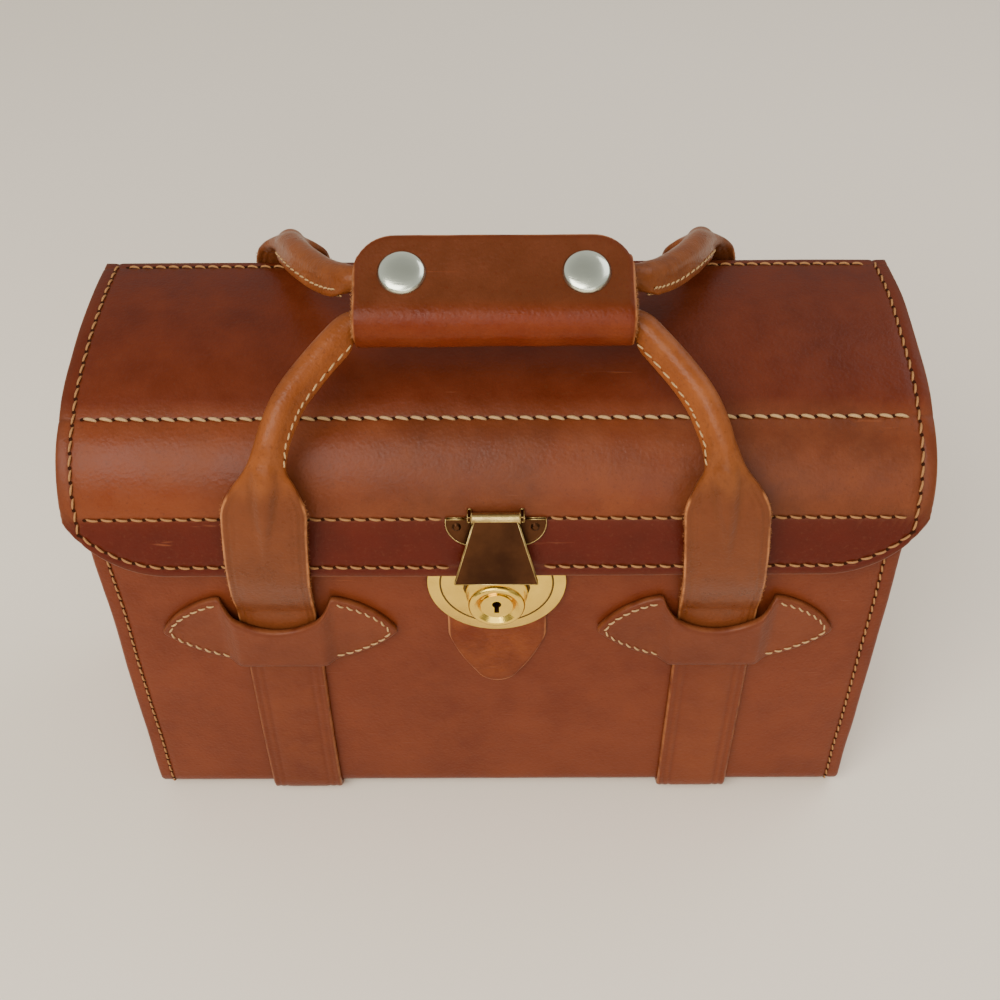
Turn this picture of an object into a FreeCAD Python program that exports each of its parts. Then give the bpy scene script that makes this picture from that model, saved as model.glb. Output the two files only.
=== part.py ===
"""Hard leather instrument case with a domed lid, two carry handles joined by a snap-on grip, and a brass hasp lock.

Millimetres, +X to the right, +Y to the back, +Z up. The origin is on the surface that the case stands on,
midway between the front and the back of the body. The front of the case faces -Y.
"""

import FreeCAD, Part
import math
import os

Vec = FreeCAD.Vector
PARTS = "parts"

# ---- driving dimensions -------------------------------------------------------------------------------------
LEATHER = 3.0  # body and lid leather
STRAP = 3.0  # belts and handle tabs
FIT = 0.4  # gap between leather pieces that slide past each other

BODY_W = 281.0
BODY_D = 95.0
BODY_FLOOR = STRAP  # the case stands on its two belts
BEND = 5.0  # outer radius of the folded bottom edges
FRONT_RIM = 150.0
BACK_RIM = 146.0
END_FLANGE = 6.0  # turned-in edge of an end panel, along X
END_FLANGE_T = 2.5
LINING = 1.2

HINGE_Y = BODY_D / 2 + 0.3
HINGE_Z = 148.0

LID_BACK_HALF_W = 143.6
LID_FRONT_HALF_W = 146.0
LID_END_T = 2.5
LID_END_BOTTOM = 146.0
LID_INSIDE_BOTTOM = 152.0  # what is inside the lid stays above the body's rim
FLAP_BOTTOM = (-54.5, 135.5)  # Y, Z of the flap's lower outer edge
FLAP_TOP = (-49.6, 159.0)  # lower stitched seam, where the flap's flat part ends
LID_SHOULDER = (-28.5, 185.5)  # upper stitched seam
LID_BACK_EDGE = (48.5, 196.3)
FLAP_CORNER_R = 37.0
FLAP_CORNER_X = 112.0
BOARD = 2.0  # stiffeners inside the lid

STRAP_X = 79.0
STRAP_W = 28.0
BELT_TOP = 109.8
PIVOT_Z = 114.0
PIVOT_Y = BODY_D / 2 + STRAP / 2 + 0.3

KEEPER_Z = 102.0  # height of the leaf's two tips
KEEPER_TIP = 43.0
KEEPER_HORN = (20.0, 18.0)
KEEPER_FOOT = (16.5, -15.5)
KEEPER_SCOOP = 14.5

ROLL_R = 4.9

GRIP_LENGTH = 89.0
GRIP_T = 2.2
GRIP_TILT = 26.0  # the grip is drawn level, then turned up at the back about the front handle's centre
GRIP_Z = 219.0
GRIP_FRONT_Y = -22.0  # centre of the front handle inside the grip
GRIP_BACK_Y = -5.5
GRIP_FLAP_BACK = 3.7
GRIP_CORNER_R = 13.0
GRIP_INNER_END = -15.7
GRIP_EDGE_R = 8.0
SNAP_GAP = 1.4  # the snaps hold the flap this far above the layer below it
SNAP_X = 29.1
SNAP_Y = -9.9
SNAP_CAP_R = 7.7

LOCK_Z = 124.0
LOCK_PLATE_R = 24.5
LOCK_PLATE_CENTRE = 127.4
LOCK_PLATE_TOP = 139.0
LOCK_PLATE_T = 1.4
LOCK_TAB_T = 1.6
BOSS_R = 10.8
BOSS_DEPTH = 7.9
PLUG_R = 4.5
PLUG_FACE_R = 5.6

HASP_TOP_W = 14.0
HASP_BOTTOM_W = 28.0
HASP_T = 1.2

# ---- derived ------------------------------------------------------------------------------------------------
FRONT = -BODY_D / 2
BACK = BODY_D / 2
HALF_W = BODY_W / 2
FLAP_LEAN = math.degrees(math.atan2(FLAP_TOP[0] - FLAP_BOTTOM[0], FLAP_TOP[1] - FLAP_BOTTOM[1]))
PLATE_BACK = FRONT - LOCK_TAB_T
PLATE_FRONT = PLATE_BACK - LOCK_PLATE_T
BOSS_FRONT = PLATE_FRONT - BOSS_DEPTH


# ---- small helpers ------------------------------------------------------------------------------------------
def box(x0, x1, y0, y1, z0, z1):
    return Part.makeBox(x1 - x0, y1 - y0, z1 - z0, Vec(x0, y0, z0))


def cylinder(radius, start, direction, length):
    return Part.makeCylinder(radius, length, Vec(*start), Vec(*direction))


def line(a, b):
    return Part.LineSegment(a, b).toShape()


def arc(a, b, c):
    return Part.Arc(a, b, c).toShape()


def mirrored(shape, normal):
    return shape.mirror(Vec(0, 0, 0), Vec(*normal))


def swept_along_x(edges, x0, x1):
    """A closed outline in the YZ plane, drawn at x = 0, made solid from x0 to x1."""
    face = Part.Face(Part.Wire(Part.__sortEdges__(edges)))
    face.translate(Vec(x0, 0, 0))
    return face.extrude(Vec(x1 - x0, 0, 0))


def polygon_prism(points, direction):
    wire = Part.makePolygon([Vec(*p) for p in points] + [Vec(*points[0])])
    return Part.Face(wire).extrude(Vec(*direction))


def revolved_about_y(profile, centre):
    """profile: (radius, y) corners. The solid of revolution about the Y line through centre."""
    x, z = centre
    wire = Part.makePolygon([Vec(x + r, y, z) for r, y in profile + profile[:1]])
    return Part.Face(wire).revolve(Vec(x, 0, z), Vec(0, 1, 0), 360)


def revolved_about_z(profile, centre):
    """profile: (radius, z) corners. The solid of revolution about the Z line through centre."""
    x, y = centre
    wire = Part.makePolygon([Vec(x + r, y, z) for r, z in profile + profile[:1]])
    return Part.Face(wire).revolve(Vec(x, y, 0), Vec(0, 0, 1), 360)


def compound(shapes):
    return Part.makeCompound(shapes)


def save(name, shape):
    shape.exportStep(os.path.join(PARTS, name + ".step"))
    volume = shape.Volume / 1000.0
    print(f"{name:22s} solids {len(shape.Solids)} valid {shape.isValid()} volume {volume:.2f} cm3")


# ---- body ---------------------------------------------------------------------------------------------------
def folded_sheet(inset, thickness, front_top, back_top, x0, x1):
    """A sheet folded up at the front and the back of the body, its outer face inset from the body's faces."""
    outer = BEND - inset if BEND > inset else 0.5
    y_out, z_out = BACK - inset, BODY_FLOOR + inset
    solid = box(x0, x1, -y_out, y_out, z_out, max(front_top, back_top))
    low = [e for e in solid.Edges if e.BoundBox.ZMax < z_out + 0.01 and e.BoundBox.XLength > 1]
    solid = solid.makeFillet(outer, low)
    inner = max(outer - thickness, 0.3)
    hollow = box(x0 - 1, x1 + 1, -y_out + thickness, y_out - thickness, z_out + thickness, front_top + 50)
    low = [e for e in hollow.Edges if e.BoundBox.ZMax < z_out + thickness + 0.01 and e.BoundBox.XLength > 1]
    solid = solid.cut(hollow.makeFillet(inner, low))
    solid = solid.cut(box(x0 - 1, x1 + 1, -y_out - 1, 0, front_top, front_top + 50))
    return solid.cut(box(x0 - 1, x1 + 1, 0, y_out + 1, back_top, back_top + 50))


def prong_centres():
    return [(x, z) for x in (-14.0, 14.0) for z in (116.0, 133.0)]


def prong_holes(radius):
    return compound([cylinder(radius, (x, FRONT - 5, z), (0, 1, 0), 12) for x, z in prong_centres()])


def body_wrap():
    return folded_sheet(0, LEATHER, FRONT_RIM, BACK_RIM, -HALF_W, HALF_W).cut(prong_holes(1.25))


def body_end(side):
    """A pan: the end panel with its front, bottom and back edges turned in."""
    inset = LEATHER
    y, floor = BACK - inset, BODY_FLOOR + inset
    outer = box(HALF_W - LEATHER - END_FLANGE, HALF_W, -y, y, floor, BACK_RIM)
    corner = [e for e in outer.Edges if e.BoundBox.ZMax < floor + 0.01 and e.BoundBox.XLength > 1]
    outer = outer.makeFillet(BEND - inset, corner)
    t = END_FLANGE_T
    inner = box(0, HALF_W - LEATHER, -y + t, y - t, floor + t, BACK_RIM + 1)
    solid = outer.cut(inner)
    return solid if side > 0 else mirrored(solid, (1, 0, 0))


def body_lining():
    x = HALF_W - LEATHER - END_FLANGE - 0.2
    top = BACK_RIM - 2
    shell = folded_sheet(LEATHER, LINING, top, top, -x, x)
    inside_y, floor = BACK - LEATHER - LINING, BODY_FLOOR + LEATHER + LINING
    for side in (-1, 1):
        x0 = side * x - (LINING if side > 0 else 0)
        shell = shell.fuse(box(x0, x0 + LINING, -inside_y, inside_y, floor, top))
    shell = shell.cut(box(-22, 22, FRONT, FRONT + LEATHER + 4, LOCK_Z - 16, top + 1))
    return shell.removeSplitter()


# ---- straps and keepers -------------------------------------------------------------------------------------
def belt(side):
    """The belt under the case: up the front to the front handle and up the back to the back handle."""
    x0, x1 = side * STRAP_X - STRAP_W / 2, side * STRAP_X + STRAP_W / 2
    outer = box(x0, x1, FRONT - STRAP, BACK + STRAP, 0, BELT_TOP)
    low = [e for e in outer.Edges if e.BoundBox.ZMax < 0.01 and e.BoundBox.XLength > 1]
    outer = outer.makeFillet(BEND + STRAP, low)
    hollow = box(x0 - 1, x1 + 1, FRONT, BACK, BODY_FLOOR, BELT_TOP + 1)
    low = [e for e in hollow.Edges if e.BoundBox.ZMax < BODY_FLOOR + 0.01 and e.BoundBox.XLength > 1]
    return outer.cut(hollow.makeFillet(BEND, low))


def keeper_outline(depth):
    """The leaf, as a solid prism from y = -depth to y = 0, centred on x = 0."""
    hx, hz = KEEPER_HORN
    fx, fz = KEEPER_FOOT

    def at(x, z):
        return Vec(x, 0, KEEPER_Z + z)

    edges = [
        arc(at(-hx, hz), at(0, hz - KEEPER_SCOOP), at(hx, hz)),
        arc(at(hx, hz), at(33.4, 11.6), at(KEEPER_TIP, 0)),
        arc(at(KEEPER_TIP, 0), at(32.0, -9.4), at(fx, fz)),
        line(at(fx, fz), at(-fx, fz)),
        arc(at(-fx, fz), at(-32.0, -9.4), at(-KEEPER_TIP, 0)),
        arc(at(-KEEPER_TIP, 0), at(-33.4, 11.6), at(-hx, hz)),
    ]
    return Part.Face(Part.Wire(edges)).extrude(Vec(0, -depth, 0))


def keeper(side, back=False):
    """A leaf of leather sewn down at both ends, arched over the belt."""
    rise = STRAP + FIT
    half = STRAP_W / 2 + FIT
    arch = [(-60, 0), (-60, -LEATHER), (-half - 6, -LEATHER), (-half - 1, -rise - LEATHER)]
    arch += [(-x, y) for x, y in reversed(arch)]
    under = [(half + 3.5, 0), (half, -rise), (-half, -rise), (-half - 3.5, 0)]
    outline = [(x, y, KEEPER_Z - 40) for x, y in arch + under]
    solid = keeper_outline(rise + LEATHER + 1).common(polygon_prism(outline, (0, 0, 80)))
    solid.translate(Vec(side * STRAP_X, FRONT, 0))
    return mirrored(solid, (0, 1, 0)) if back else solid


# ---- lid ----------------------------------------------------------------------------------------------------
def tangent_arc_end(start, heading, end):
    """Centre, radius and end heading of the arc that leaves start at heading (degrees) and ends at end."""
    dy, dz = end[0] - start[0], end[1] - start[1]
    chord = math.hypot(dy, dz)
    turn = 2 * (heading - math.degrees(math.atan2(dz, dy)))
    radius = chord / (2 * math.sin(math.radians(turn / 2)))
    h = math.radians(heading)
    centre = (start[0] + radius * math.sin(h), start[1] - radius * math.cos(h))
    return centre, radius, heading - turn


SHOULDER_CENTRE, SHOULDER_R, SHOULDER_HEADING = tangent_arc_end(FLAP_TOP, 90 - FLAP_LEAN, LID_SHOULDER)
CROWN_CENTRE, CROWN_R, CROWN_HEADING = tangent_arc_end(LID_SHOULDER, SHOULDER_HEADING, LID_BACK_EDGE)


def lid_curve(depth, flap_from=0.0):
    """The lid's outer profile from the flap to the back edge, moved inwards by depth: three edges and their ends."""
    lean = math.radians(FLAP_LEAN)
    inward = (math.cos(lean) * depth, -math.sin(lean) * depth)
    along = (math.sin(lean) * flap_from, math.cos(lean) * flap_from)

    def on(centre, radius, heading):
        h = math.radians(heading + 90)
        return Vec(0, centre[0] + (radius - depth) * math.cos(h), centre[1] + (radius - depth) * math.sin(h))

    start = Vec(0, FLAP_BOTTOM[0] + inward[0] + along[0], FLAP_BOTTOM[1] + inward[1] + along[1])
    knee = on(SHOULDER_CENTRE, SHOULDER_R, 90 - FLAP_LEAN)
    shoulder = on(SHOULDER_CENTRE, SHOULDER_R, SHOULDER_HEADING)
    end = on(CROWN_CENTRE, CROWN_R, CROWN_HEADING)
    mid_a = on(SHOULDER_CENTRE, SHOULDER_R, (90 - FLAP_LEAN + SHOULDER_HEADING) / 2)
    mid_b = on(CROWN_CENTRE, CROWN_R, (SHOULDER_HEADING + CROWN_HEADING) / 2)
    return [line(start, knee), arc(knee, mid_a, shoulder), arc(shoulder, mid_b, end)], start, end


def lid_layer(outer_depth, inner_depth, x0, x1):
    """The band between two depths under the lid's outer face, from x0 to x1."""
    outer, outer_start, outer_end = lid_curve(outer_depth)
    inner, inner_start, inner_end = lid_curve(inner_depth)
    edges = outer + inner + [line(outer_start, inner_start), line(outer_end, inner_end)]
    return swept_along_x(edges, x0, x1)


def under_lid(depth, x0, x1, bottom):
    """Everything under the lid's profile at that depth, down to bottom."""
    edges, start, end = lid_curve(depth)
    edges = edges + [line(end, Vec(0, end.y, bottom)), line(Vec(0, end.y, bottom), Vec(0, start.y, bottom))]
    edges.append(line(Vec(0, start.y, bottom), start))
    return swept_along_x(edges, x0, x1)


def flap_corner_cutter():
    """What is cut off each lower corner of the flap, on the +X side."""
    z0, r, cx = FLAP_BOTTOM[1], FLAP_CORNER_R, FLAP_CORNER_X
    end_x = LID_FRONT_HALF_W + 4
    end_z = z0 + r - math.sqrt(r * r - (end_x - cx) ** 2) if end_x - cx < r else z0 + r
    mid = math.radians(-60)
    start, end = Vec(cx, -70, z0), Vec(end_x, -70, end_z)
    middle = Vec(cx + r * math.cos(mid), -70, z0 + r + r * math.sin(mid))
    low = z0 - 10
    edges = [
        arc(start, middle, end),
        line(end, Vec(end_x, -70, low)),
        line(Vec(end_x, -70, low), Vec(cx, -70, low)),
        line(Vec(cx, -70, low), start),
    ]
    return Part.Face(Part.Wire(edges)).extrude(Vec(0, 32, 0))


def lid_cover():
    """One sheet of leather: flap, rounded front and crown."""
    w = LID_FRONT_HALF_W
    sheet = lid_layer(0, LEATHER, -w, w)
    front, back, narrow = -56.0, 50.0, LID_BACK_HALF_W
    plan = [(-w, front, 100), (w, front, 100), (w, -30, 100), (narrow, back, 100), (-narrow, back, 100), (-w, -30, 100)]
    sheet = sheet.common(polygon_prism(plan, (0, 0, 130)))
    corner = flap_corner_cutter()
    sheet = sheet.cut(corner).cut(mirrored(corner, (1, 0, 0)))
    notch = box(-7, 7, -60, -45, FLAP_BOTTOM[1] - 2, FLAP_BOTTOM[1] + 8.5)
    return sheet.cut(notch).cut(rivet_holes())


def lid_end(side):
    """The lid's end panel, with its edge turned in under the cover."""
    x0, x1 = HALF_W + FIT, HALF_W + FIT + LID_END_T
    plate = under_lid(LEATHER, x0, x1, LID_END_BOTTOM).common(box(0, 200, -60, BACK, 100, 250))
    ramp = [(0, -60, 100), (0, -60, 154.5), (0, -46, 154.5), (0, -30, LID_END_BOTTOM), (0, -30, 100)]
    plate = plate.cut(polygon_prism(ramp, (200, 0, 0)))
    flange = lid_layer(LEATHER, LEATHER + END_FLANGE_T, HALF_W - END_FLANGE, x0)
    flange = flange.common(box(0, 200, -60, BACK - LEATHER, LID_INSIDE_BOTTOM, 250))
    solid = plate.fuse(flange).removeSplitter()
    return solid if side > 0 else mirrored(solid, (1, 0, 0))


def lid_back_panel():
    sheet = box(-HALF_W, HALF_W, BACK - LEATHER, BACK, HINGE_Z + 2, 200)
    return sheet.common(under_lid(LEATHER, -HALF_W, HALF_W, 140))


def inside_lid(outer, inner, y0, y1):
    x = HALF_W - END_FLANGE - 0.2
    band = lid_layer(outer, inner, -x, x)
    return band.common(box(-x, x, y0, y1, LID_INSIDE_BOTTOM, 250)).cut(rivet_tails())


def lid_front_stiffener():
    return inside_lid(LEATHER, LEATHER + BOARD, -60, LID_SHOULDER[0] + 4)


def lid_top_board():
    return inside_lid(LEATHER, LEATHER + BOARD, LID_SHOULDER[0] + 4.2, BACK - LEATHER)


def lid_lining():
    return inside_lid(LEATHER + BOARD, LEATHER + BOARD + LINING, -60, BACK - LEATHER)


def hinge_leather():
    """The thin leather that joins the lid's back to the body's back and folds when the lid opens."""
    return box(-HALF_W + 2, HALF_W - 2, BACK, BACK + 1.4, HINGE_Z - 12, HINGE_Z + 12)


# ---- hasp, drawn on a flat flap: y = 0 is its outer face, z = 0 its lower edge -------------------------------
PIN_Y, PIN_Z = -3.2, 26.2
PIN_R, BARREL_R = 0.9, 1.9
HASP_FOOT = (-6.6, 2.0)  # y and z of the hasp's lower edge, middle of its thickness
RIVET_X, RIVET_Z = 13.2, 21.4
LUG_X = HASP_TOP_W / 2 + 1.2


def on_flap(shape):
    shape.rotate(Vec(0, 0, 0), Vec(1, 0, 0), -FLAP_LEAN)
    shape.translate(Vec(0, *FLAP_BOTTOM))
    return shape


def rivet_holes():
    return on_flap(compound([cylinder(1.05, (x, -3, RIVET_Z), (0, 1, 0), 12) for x in (-RIVET_X, RIVET_X)]))


def rivet_tails():
    """Room for the clinched ends of the rivets inside the lid."""
    return on_flap(compound([cylinder(2.4, (x, 2.9, RIVET_Z), (0, 1, 0), 4) for x in (-RIVET_X, RIVET_X)]))


def hasp_hinge_plate():
    top, low, half, foot = 24.3, 14.2, 16.8, 10.0
    edges = [
        line(Vec(-half, 0, top), Vec(half, 0, top)),
        arc(Vec(half, 0, top), Vec(15.4, 0, 18.0), Vec(foot, 0, low)),
        line(Vec(foot, 0, low), Vec(-foot, 0, low)),
        arc(Vec(-foot, 0, low), Vec(-15.4, 0, 18.0), Vec(-half, 0, top)),
    ]
    plate = Part.Face(Part.Wire(edges)).extrude(Vec(0, -1, 0))
    lug = box(LUG_X, LUG_X + 1.2, PIN_Y - 1.6, 0, 23.9, PIN_Z + 1.6)
    plate = plate.fuse(lug).fuse(mirrored(lug, (1, 0, 0)))
    plate = plate.cut(cylinder(PIN_R, (-20, PIN_Y, PIN_Z), (1, 0, 0), 40))
    holes = [cylinder(1.0, (x, -3, RIVET_Z), (0, 1, 0), 4) for x in (-RIVET_X, RIVET_X)]
    return on_flap(plate.cut(compound(holes)).removeSplitter())


def hasp_rivets():
    rivets = []
    for x in (-RIVET_X, RIVET_X):
        head = [(0, -1.9), (0.9, -1.75), (1.6, -1.0), (1.0, -1.0), (1.0, LEATHER), (2.2, LEATHER)]
        head += [(1.8, LEATHER + 1.2), (0, LEATHER + 1.2)]
        rivets.append(revolved_about_y(head, (x, RIVET_Z)))
    return on_flap(compound(rivets))


def hasp_pin():
    half = LUG_X + 1.7
    return on_flap(cylinder(PIN_R, (-half, PIN_Y, PIN_Z), (1, 0, 0), 2 * half))


def hasp_blade():
    """The tapered blade between the barrel and the foot, with its long edges folded back."""
    dy, dz = HASP_FOOT[0] - PIN_Y + 1.2, HASP_FOOT[1] - PIN_Z
    length = math.hypot(dy, dz)
    top, bottom = HASP_TOP_W / 2, HASP_BOTTOM_W / 2

    def trapezoid(inset, y, depth):
        outline = [(-top + inset, y, 0), (top - inset, y, 0), (bottom - inset, y, -length), (-bottom + inset, y, -length)]
        return polygon_prism(outline, (0, depth, 0))

    blade = trapezoid(0, -HASP_T, HASP_T + 1.3)
    hollow = trapezoid(HASP_T, 0, 3)
    hollow = hollow.cut(box(-30, 30, -1, 4, -length - 1, -length + HASP_T))
    blade = blade.cut(hollow).cut(box(-30, 30, 0, 4, -BARREL_R - 0.4, 2))
    blade.rotate(Vec(0, 0, 0), Vec(1, 0, 0), -math.degrees(math.atan2(dy, dz)) + 180)
    blade.translate(Vec(0, PIN_Y - 0.6, PIN_Z))
    return blade


def hasp_plate():
    half = LUG_X - 0.2
    barrel = cylinder(BARREL_R, (-half, PIN_Y, PIN_Z), (1, 0, 0), 2 * half)
    plate = hasp_blade().fuse(barrel)
    plate = plate.cut(cylinder(PIN_R + 0.06, (-20, PIN_Y, PIN_Z), (1, 0, 0), 40))
    return on_flap(plate.removeSplitter())


STAPLE_Z = (2.5, 5.6)
EYE_Y = -1.5


def hasp_staple():
    """The eye behind the hasp's foot that the lock holds."""
    z0, z1 = STAPLE_Z
    solid = box(-5, 5, HASP_FOOT[0] + HASP_T / 2 + 0.9, 3.0, z0, z1)
    solid = on_flap(solid).cut(hasp_plate())
    eye = on_flap(cylinder(2.3, (0, EYE_Y, -5), (0, 0, 1), 20))
    return solid.cut(eye)


# ---- lock ---------------------------------------------------------------------------------------------------
def lock_tab():
    """The leather tongue behind the lock plate, its rounded point below."""
    half, low, top = 17.8, 72.5, 138.0

    def at(x, z):
        return Vec(x, FRONT, z)

    edges = [
        line(at(-half, top), at(half, top)),
        line(at(half, top), at(half, 100)),
        arc(at(half, 100), at(14.2, 89.4), at(7.5, 77.5)),
        arc(at(7.5, 77.5), at(0, low), at(-7.5, 77.5)),
        arc(at(-7.5, 77.5), at(-14.2, 89.4), at(-half, 100)),
        line(at(-half, 100), at(-half, top)),
    ]
    tab = Part.Face(Part.Wire(edges)).extrude(Vec(0, -LOCK_TAB_T, 0))
    return tab.cut(prong_holes(1.25))


def lock_plate():
    """A thin brass disc with a raised middle, cut straight across under the flap."""
    r, step, front = LOCK_PLATE_R, LOCK_PLATE_R - 5.5, PLATE_BACK - LOCK_PLATE_T
    profile = [(0, PLATE_BACK), (r, PLATE_BACK), (r, front + 0.6), (step, front + 0.6), (step - 0.5, front), (0, front)]
    disc = revolved_about_y(profile, (0, LOCK_PLATE_CENTRE))
    return disc.cut(box(-40, 40, -80, 0, LOCK_PLATE_TOP, 200))


def lock_boss():
    front, seat = BOSS_FRONT, PLATE_FRONT
    profile = [(0, seat), (BOSS_R, seat), (BOSS_R, seat - 1.6), (BOSS_R - 0.9, seat - 2.6), (BOSS_R - 0.9, front + 2.2)]
    profile += [(BOSS_R - 2.0, front), (BOSS_R - 2.9, front), (PLUG_FACE_R + 0.3, front + 1.6), (0, front + 1.6)]
    boss = revolved_about_y(profile, (0, LOCK_Z))
    shelf = box(-9.4, 9.4, seat - 6.6, seat, LOCK_Z + 3, LOCK_Z + BOSS_R)
    boss = boss.fuse(shelf).cut(cylinder(PLUG_R + 0.06, (0, front - 1, LOCK_Z), (0, 1, 0), BOSS_DEPTH - 0.5))
    boss = boss.cut(cylinder(PLUG_FACE_R + 0.1, (0, front - 1, LOCK_Z), (0, 1, 0), 2.7))
    return boss.removeSplitter()


def lock_plug():
    """The keyed plug that turns in the boss."""
    front = BOSS_FRONT + 0.7
    plug = cylinder(PLUG_FACE_R, (0, front, LOCK_Z), (0, 1, 0), 0.9)
    plug = plug.fuse(cylinder(PLUG_R, (0, front + 0.9, LOCK_Z), (0, 1, 0), BOSS_DEPTH - 3.2))
    keyhole = cylinder(1.6, (0, front - 1, LOCK_Z + 1.0), (0, 1, 0), 5.5)
    keyhole = keyhole.fuse(box(-0.85, 0.85, front - 1, front + 4.5, LOCK_Z - 3.2, LOCK_Z + 1))
    return plug.cut(keyhole).removeSplitter()


def lock_prongs():
    tail = FRONT + LEATHER + LINING
    profile = [(0, PLATE_BACK), (1.2, PLATE_BACK), (1.2, tail), (2.0, tail), (1.6, tail + 1.0), (0, tail + 1.0)]
    return compound([revolved_about_y(profile, centre) for centre in prong_centres()])


def lock_backplate():
    plate = box(-19, 19, FRONT + LEATHER, FRONT + LEATHER + LINING, 111, 138)
    return plate.cut(prong_holes(1.25))


# ---- handles ------------------------------------------------------------------------------------------------
def tilted_spot(y, z):
    """Where a point of the level grip is once the grip is turned."""
    tilt = math.radians(GRIP_TILT)
    dy, dz = y - GRIP_FRONT_Y, z - GRIP_Z
    return GRIP_FRONT_Y + dy * math.cos(tilt) - dz * math.sin(tilt), GRIP_Z + dy * math.sin(tilt) + dz * math.cos(tilt)


BACK_ROLL_Y, BACK_ROLL_Z = tilted_spot(GRIP_BACK_Y, GRIP_Z)
FRONT_PATH = [
    (-STRAP_X, -PIVOT_Y, PIVOT_Z),
    (-78.9, -50.6, 118.0),
    (-78.6, -53.4, 125.0),
    (-77.8, -57.0, 137.0),
    (-76.8, -58.3, 152.0),
    (-75.8, -58.2, 164.0),
    (-75.0, -57.5, 171.5),
    (-74.2, -56.2, 179.0),
    (-73.4, -54.2, 186.0),
    (-71.6, -50.8, 193.8),
    (-68.5, -45.4, 200.6),
    (-65.3, -40.6, 205.0),
    (-59.4, -34.0, 210.2),
    (-51.8, -26.8, 215.6),
    (-45.5, GRIP_FRONT_Y - 0.2, GRIP_Z - 0.2),
    (-36.0, GRIP_FRONT_Y, GRIP_Z),
]
BACK_PATH = [
    (-STRAP_X, PIVOT_Y, PIVOT_Z),
    (-78.9, 50.6, 118.0),
    (-78.8, 52.2, 125.0),
    (-78.6, 53.4, 137.0),
    (-78.0, 54.4, 155.0),
    (-77.0, 55.2, 174.0),
    (-76.0, 55.3, 187.0),
    (-75.2, 53.9, 196.0),
    (-74.8, 51.4, 201.3),
    (-74.2, 46.0, 205.5),
    (-71.8, 36.0, 210.6),
    (-65.1, 20.0, 216.0),
    (-56.6, 5.0, 220.8),
    (-50.0, -3.5, 224.2),
    (-45.5, BACK_ROLL_Y + 0.2, BACK_ROLL_Z - 0.2),
    (-36.0, BACK_ROLL_Y, BACK_ROLL_Z),
]
# half width, half thickness and squareness of the strap at each point of a path
FLAT = (14.0, 1.5, 7.0)
ROUND = (ROLL_R, ROLL_R, 2.0)
HELD = (ROLL_R - 0.2, ROLL_R - 0.2, 2.0)
FRONT_SECTIONS = [FLAT] * 5 + [(14.0, 1.9, 6.0), (13.7, 2.6, 4.0), (11.4, 3.5, 2.6), (7.1, 4.4, 2.2)]
FRONT_SECTIONS += [ROUND] * 5 + [HELD] * 2
BACK_SECTIONS = [FLAT] * 5 + [(14.0, 1.6, 7.0), (14.0, 2.0, 6.0), (13.2, 2.8, 3.6), (10.2, 3.8, 2.4)]
BACK_SECTIONS += [(6.6, 4.5, 2.1)] + [ROUND] * 4 + [HELD] * 2
RING_POINTS = 24
PATH_STEPS = 3


def whole_path(half):
    middle = (0.0, half[-1][1], half[-1][2])
    return [Vec(*p) for p in half + [middle] + [(-x, y, z) for x, y, z in reversed(half)]]


def smooth_path(points):
    """Points of a Catmull-Rom curve through the given points, each with its place among them."""
    samples = []
    for i in range(len(points) - 1):
        before, start = points[max(i - 1, 0)], points[i]
        end, after = points[i + 1], points[min(i + 2, len(points) - 1)]
        for k in range(PATH_STEPS):
            t = k / PATH_STEPS
            linear = (end - before) * t
            square = (before * 2 - start * 5 + end * 4 - after) * (t * t)
            cube = (start * 3 - before - end * 3 + after) * (t ** 3)
            samples.append(((start * 2 + linear + square + cube) * 0.5, i + t))
    return samples + [(points[-1], len(points) - 1.0)]


def section_between(sections, place):
    index = min(int(place), len(sections) - 2)
    t = place - index
    t = t * t * (3 - 2 * t)
    return [a + (b - a) * t for a, b in zip(sections[index], sections[index + 1])]


def section_wire(centre, across, up, half_w, half_t, square):
    points = []
    for i in range(RING_POINTS):
        angle = 2 * math.pi * (i + 0.5) / RING_POINTS
        c, s = math.cos(angle), math.sin(angle)
        a = math.copysign(abs(c) ** (2.0 / square), c) * half_w
        b = math.copysign(abs(s) ** (2.0 / square), s) * half_t
        points.append(centre + across * a + up * b)
    return Part.makePolygon(points + points[:1])


def handle_leather(path, sections):
    """The strap swept along its path, each section turned along it without twist."""
    samples = smooth_path(whole_path(path))
    shapes = sections + [sections[-1]] + sections[::-1]
    wires, across = [], Vec(1, 0, 0)
    for i, (centre, place) in enumerate(samples):
        ahead = samples[min(i + 1, len(samples) - 1)][0] - samples[max(i - 1, 0)][0]
        ahead.normalize()
        across = across - ahead * across.dot(ahead)
        across.normalize()
        wires.append(section_wire(centre, across, ahead.cross(across), *section_between(shapes, place)))
    return Part.makeLoft(wires, True, False)


# ---- grip ---------------------------------------------------------------------------------------------------
GRIP_OUT = ROLL_R + 0.3 + GRIP_T
GRIP_TOP = GRIP_Z + GRIP_OUT


def tilted(shape):
    shape.rotate(Vec(0, GRIP_FRONT_Y, GRIP_Z), Vec(1, 0, 0), GRIP_TILT)
    return shape


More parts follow.
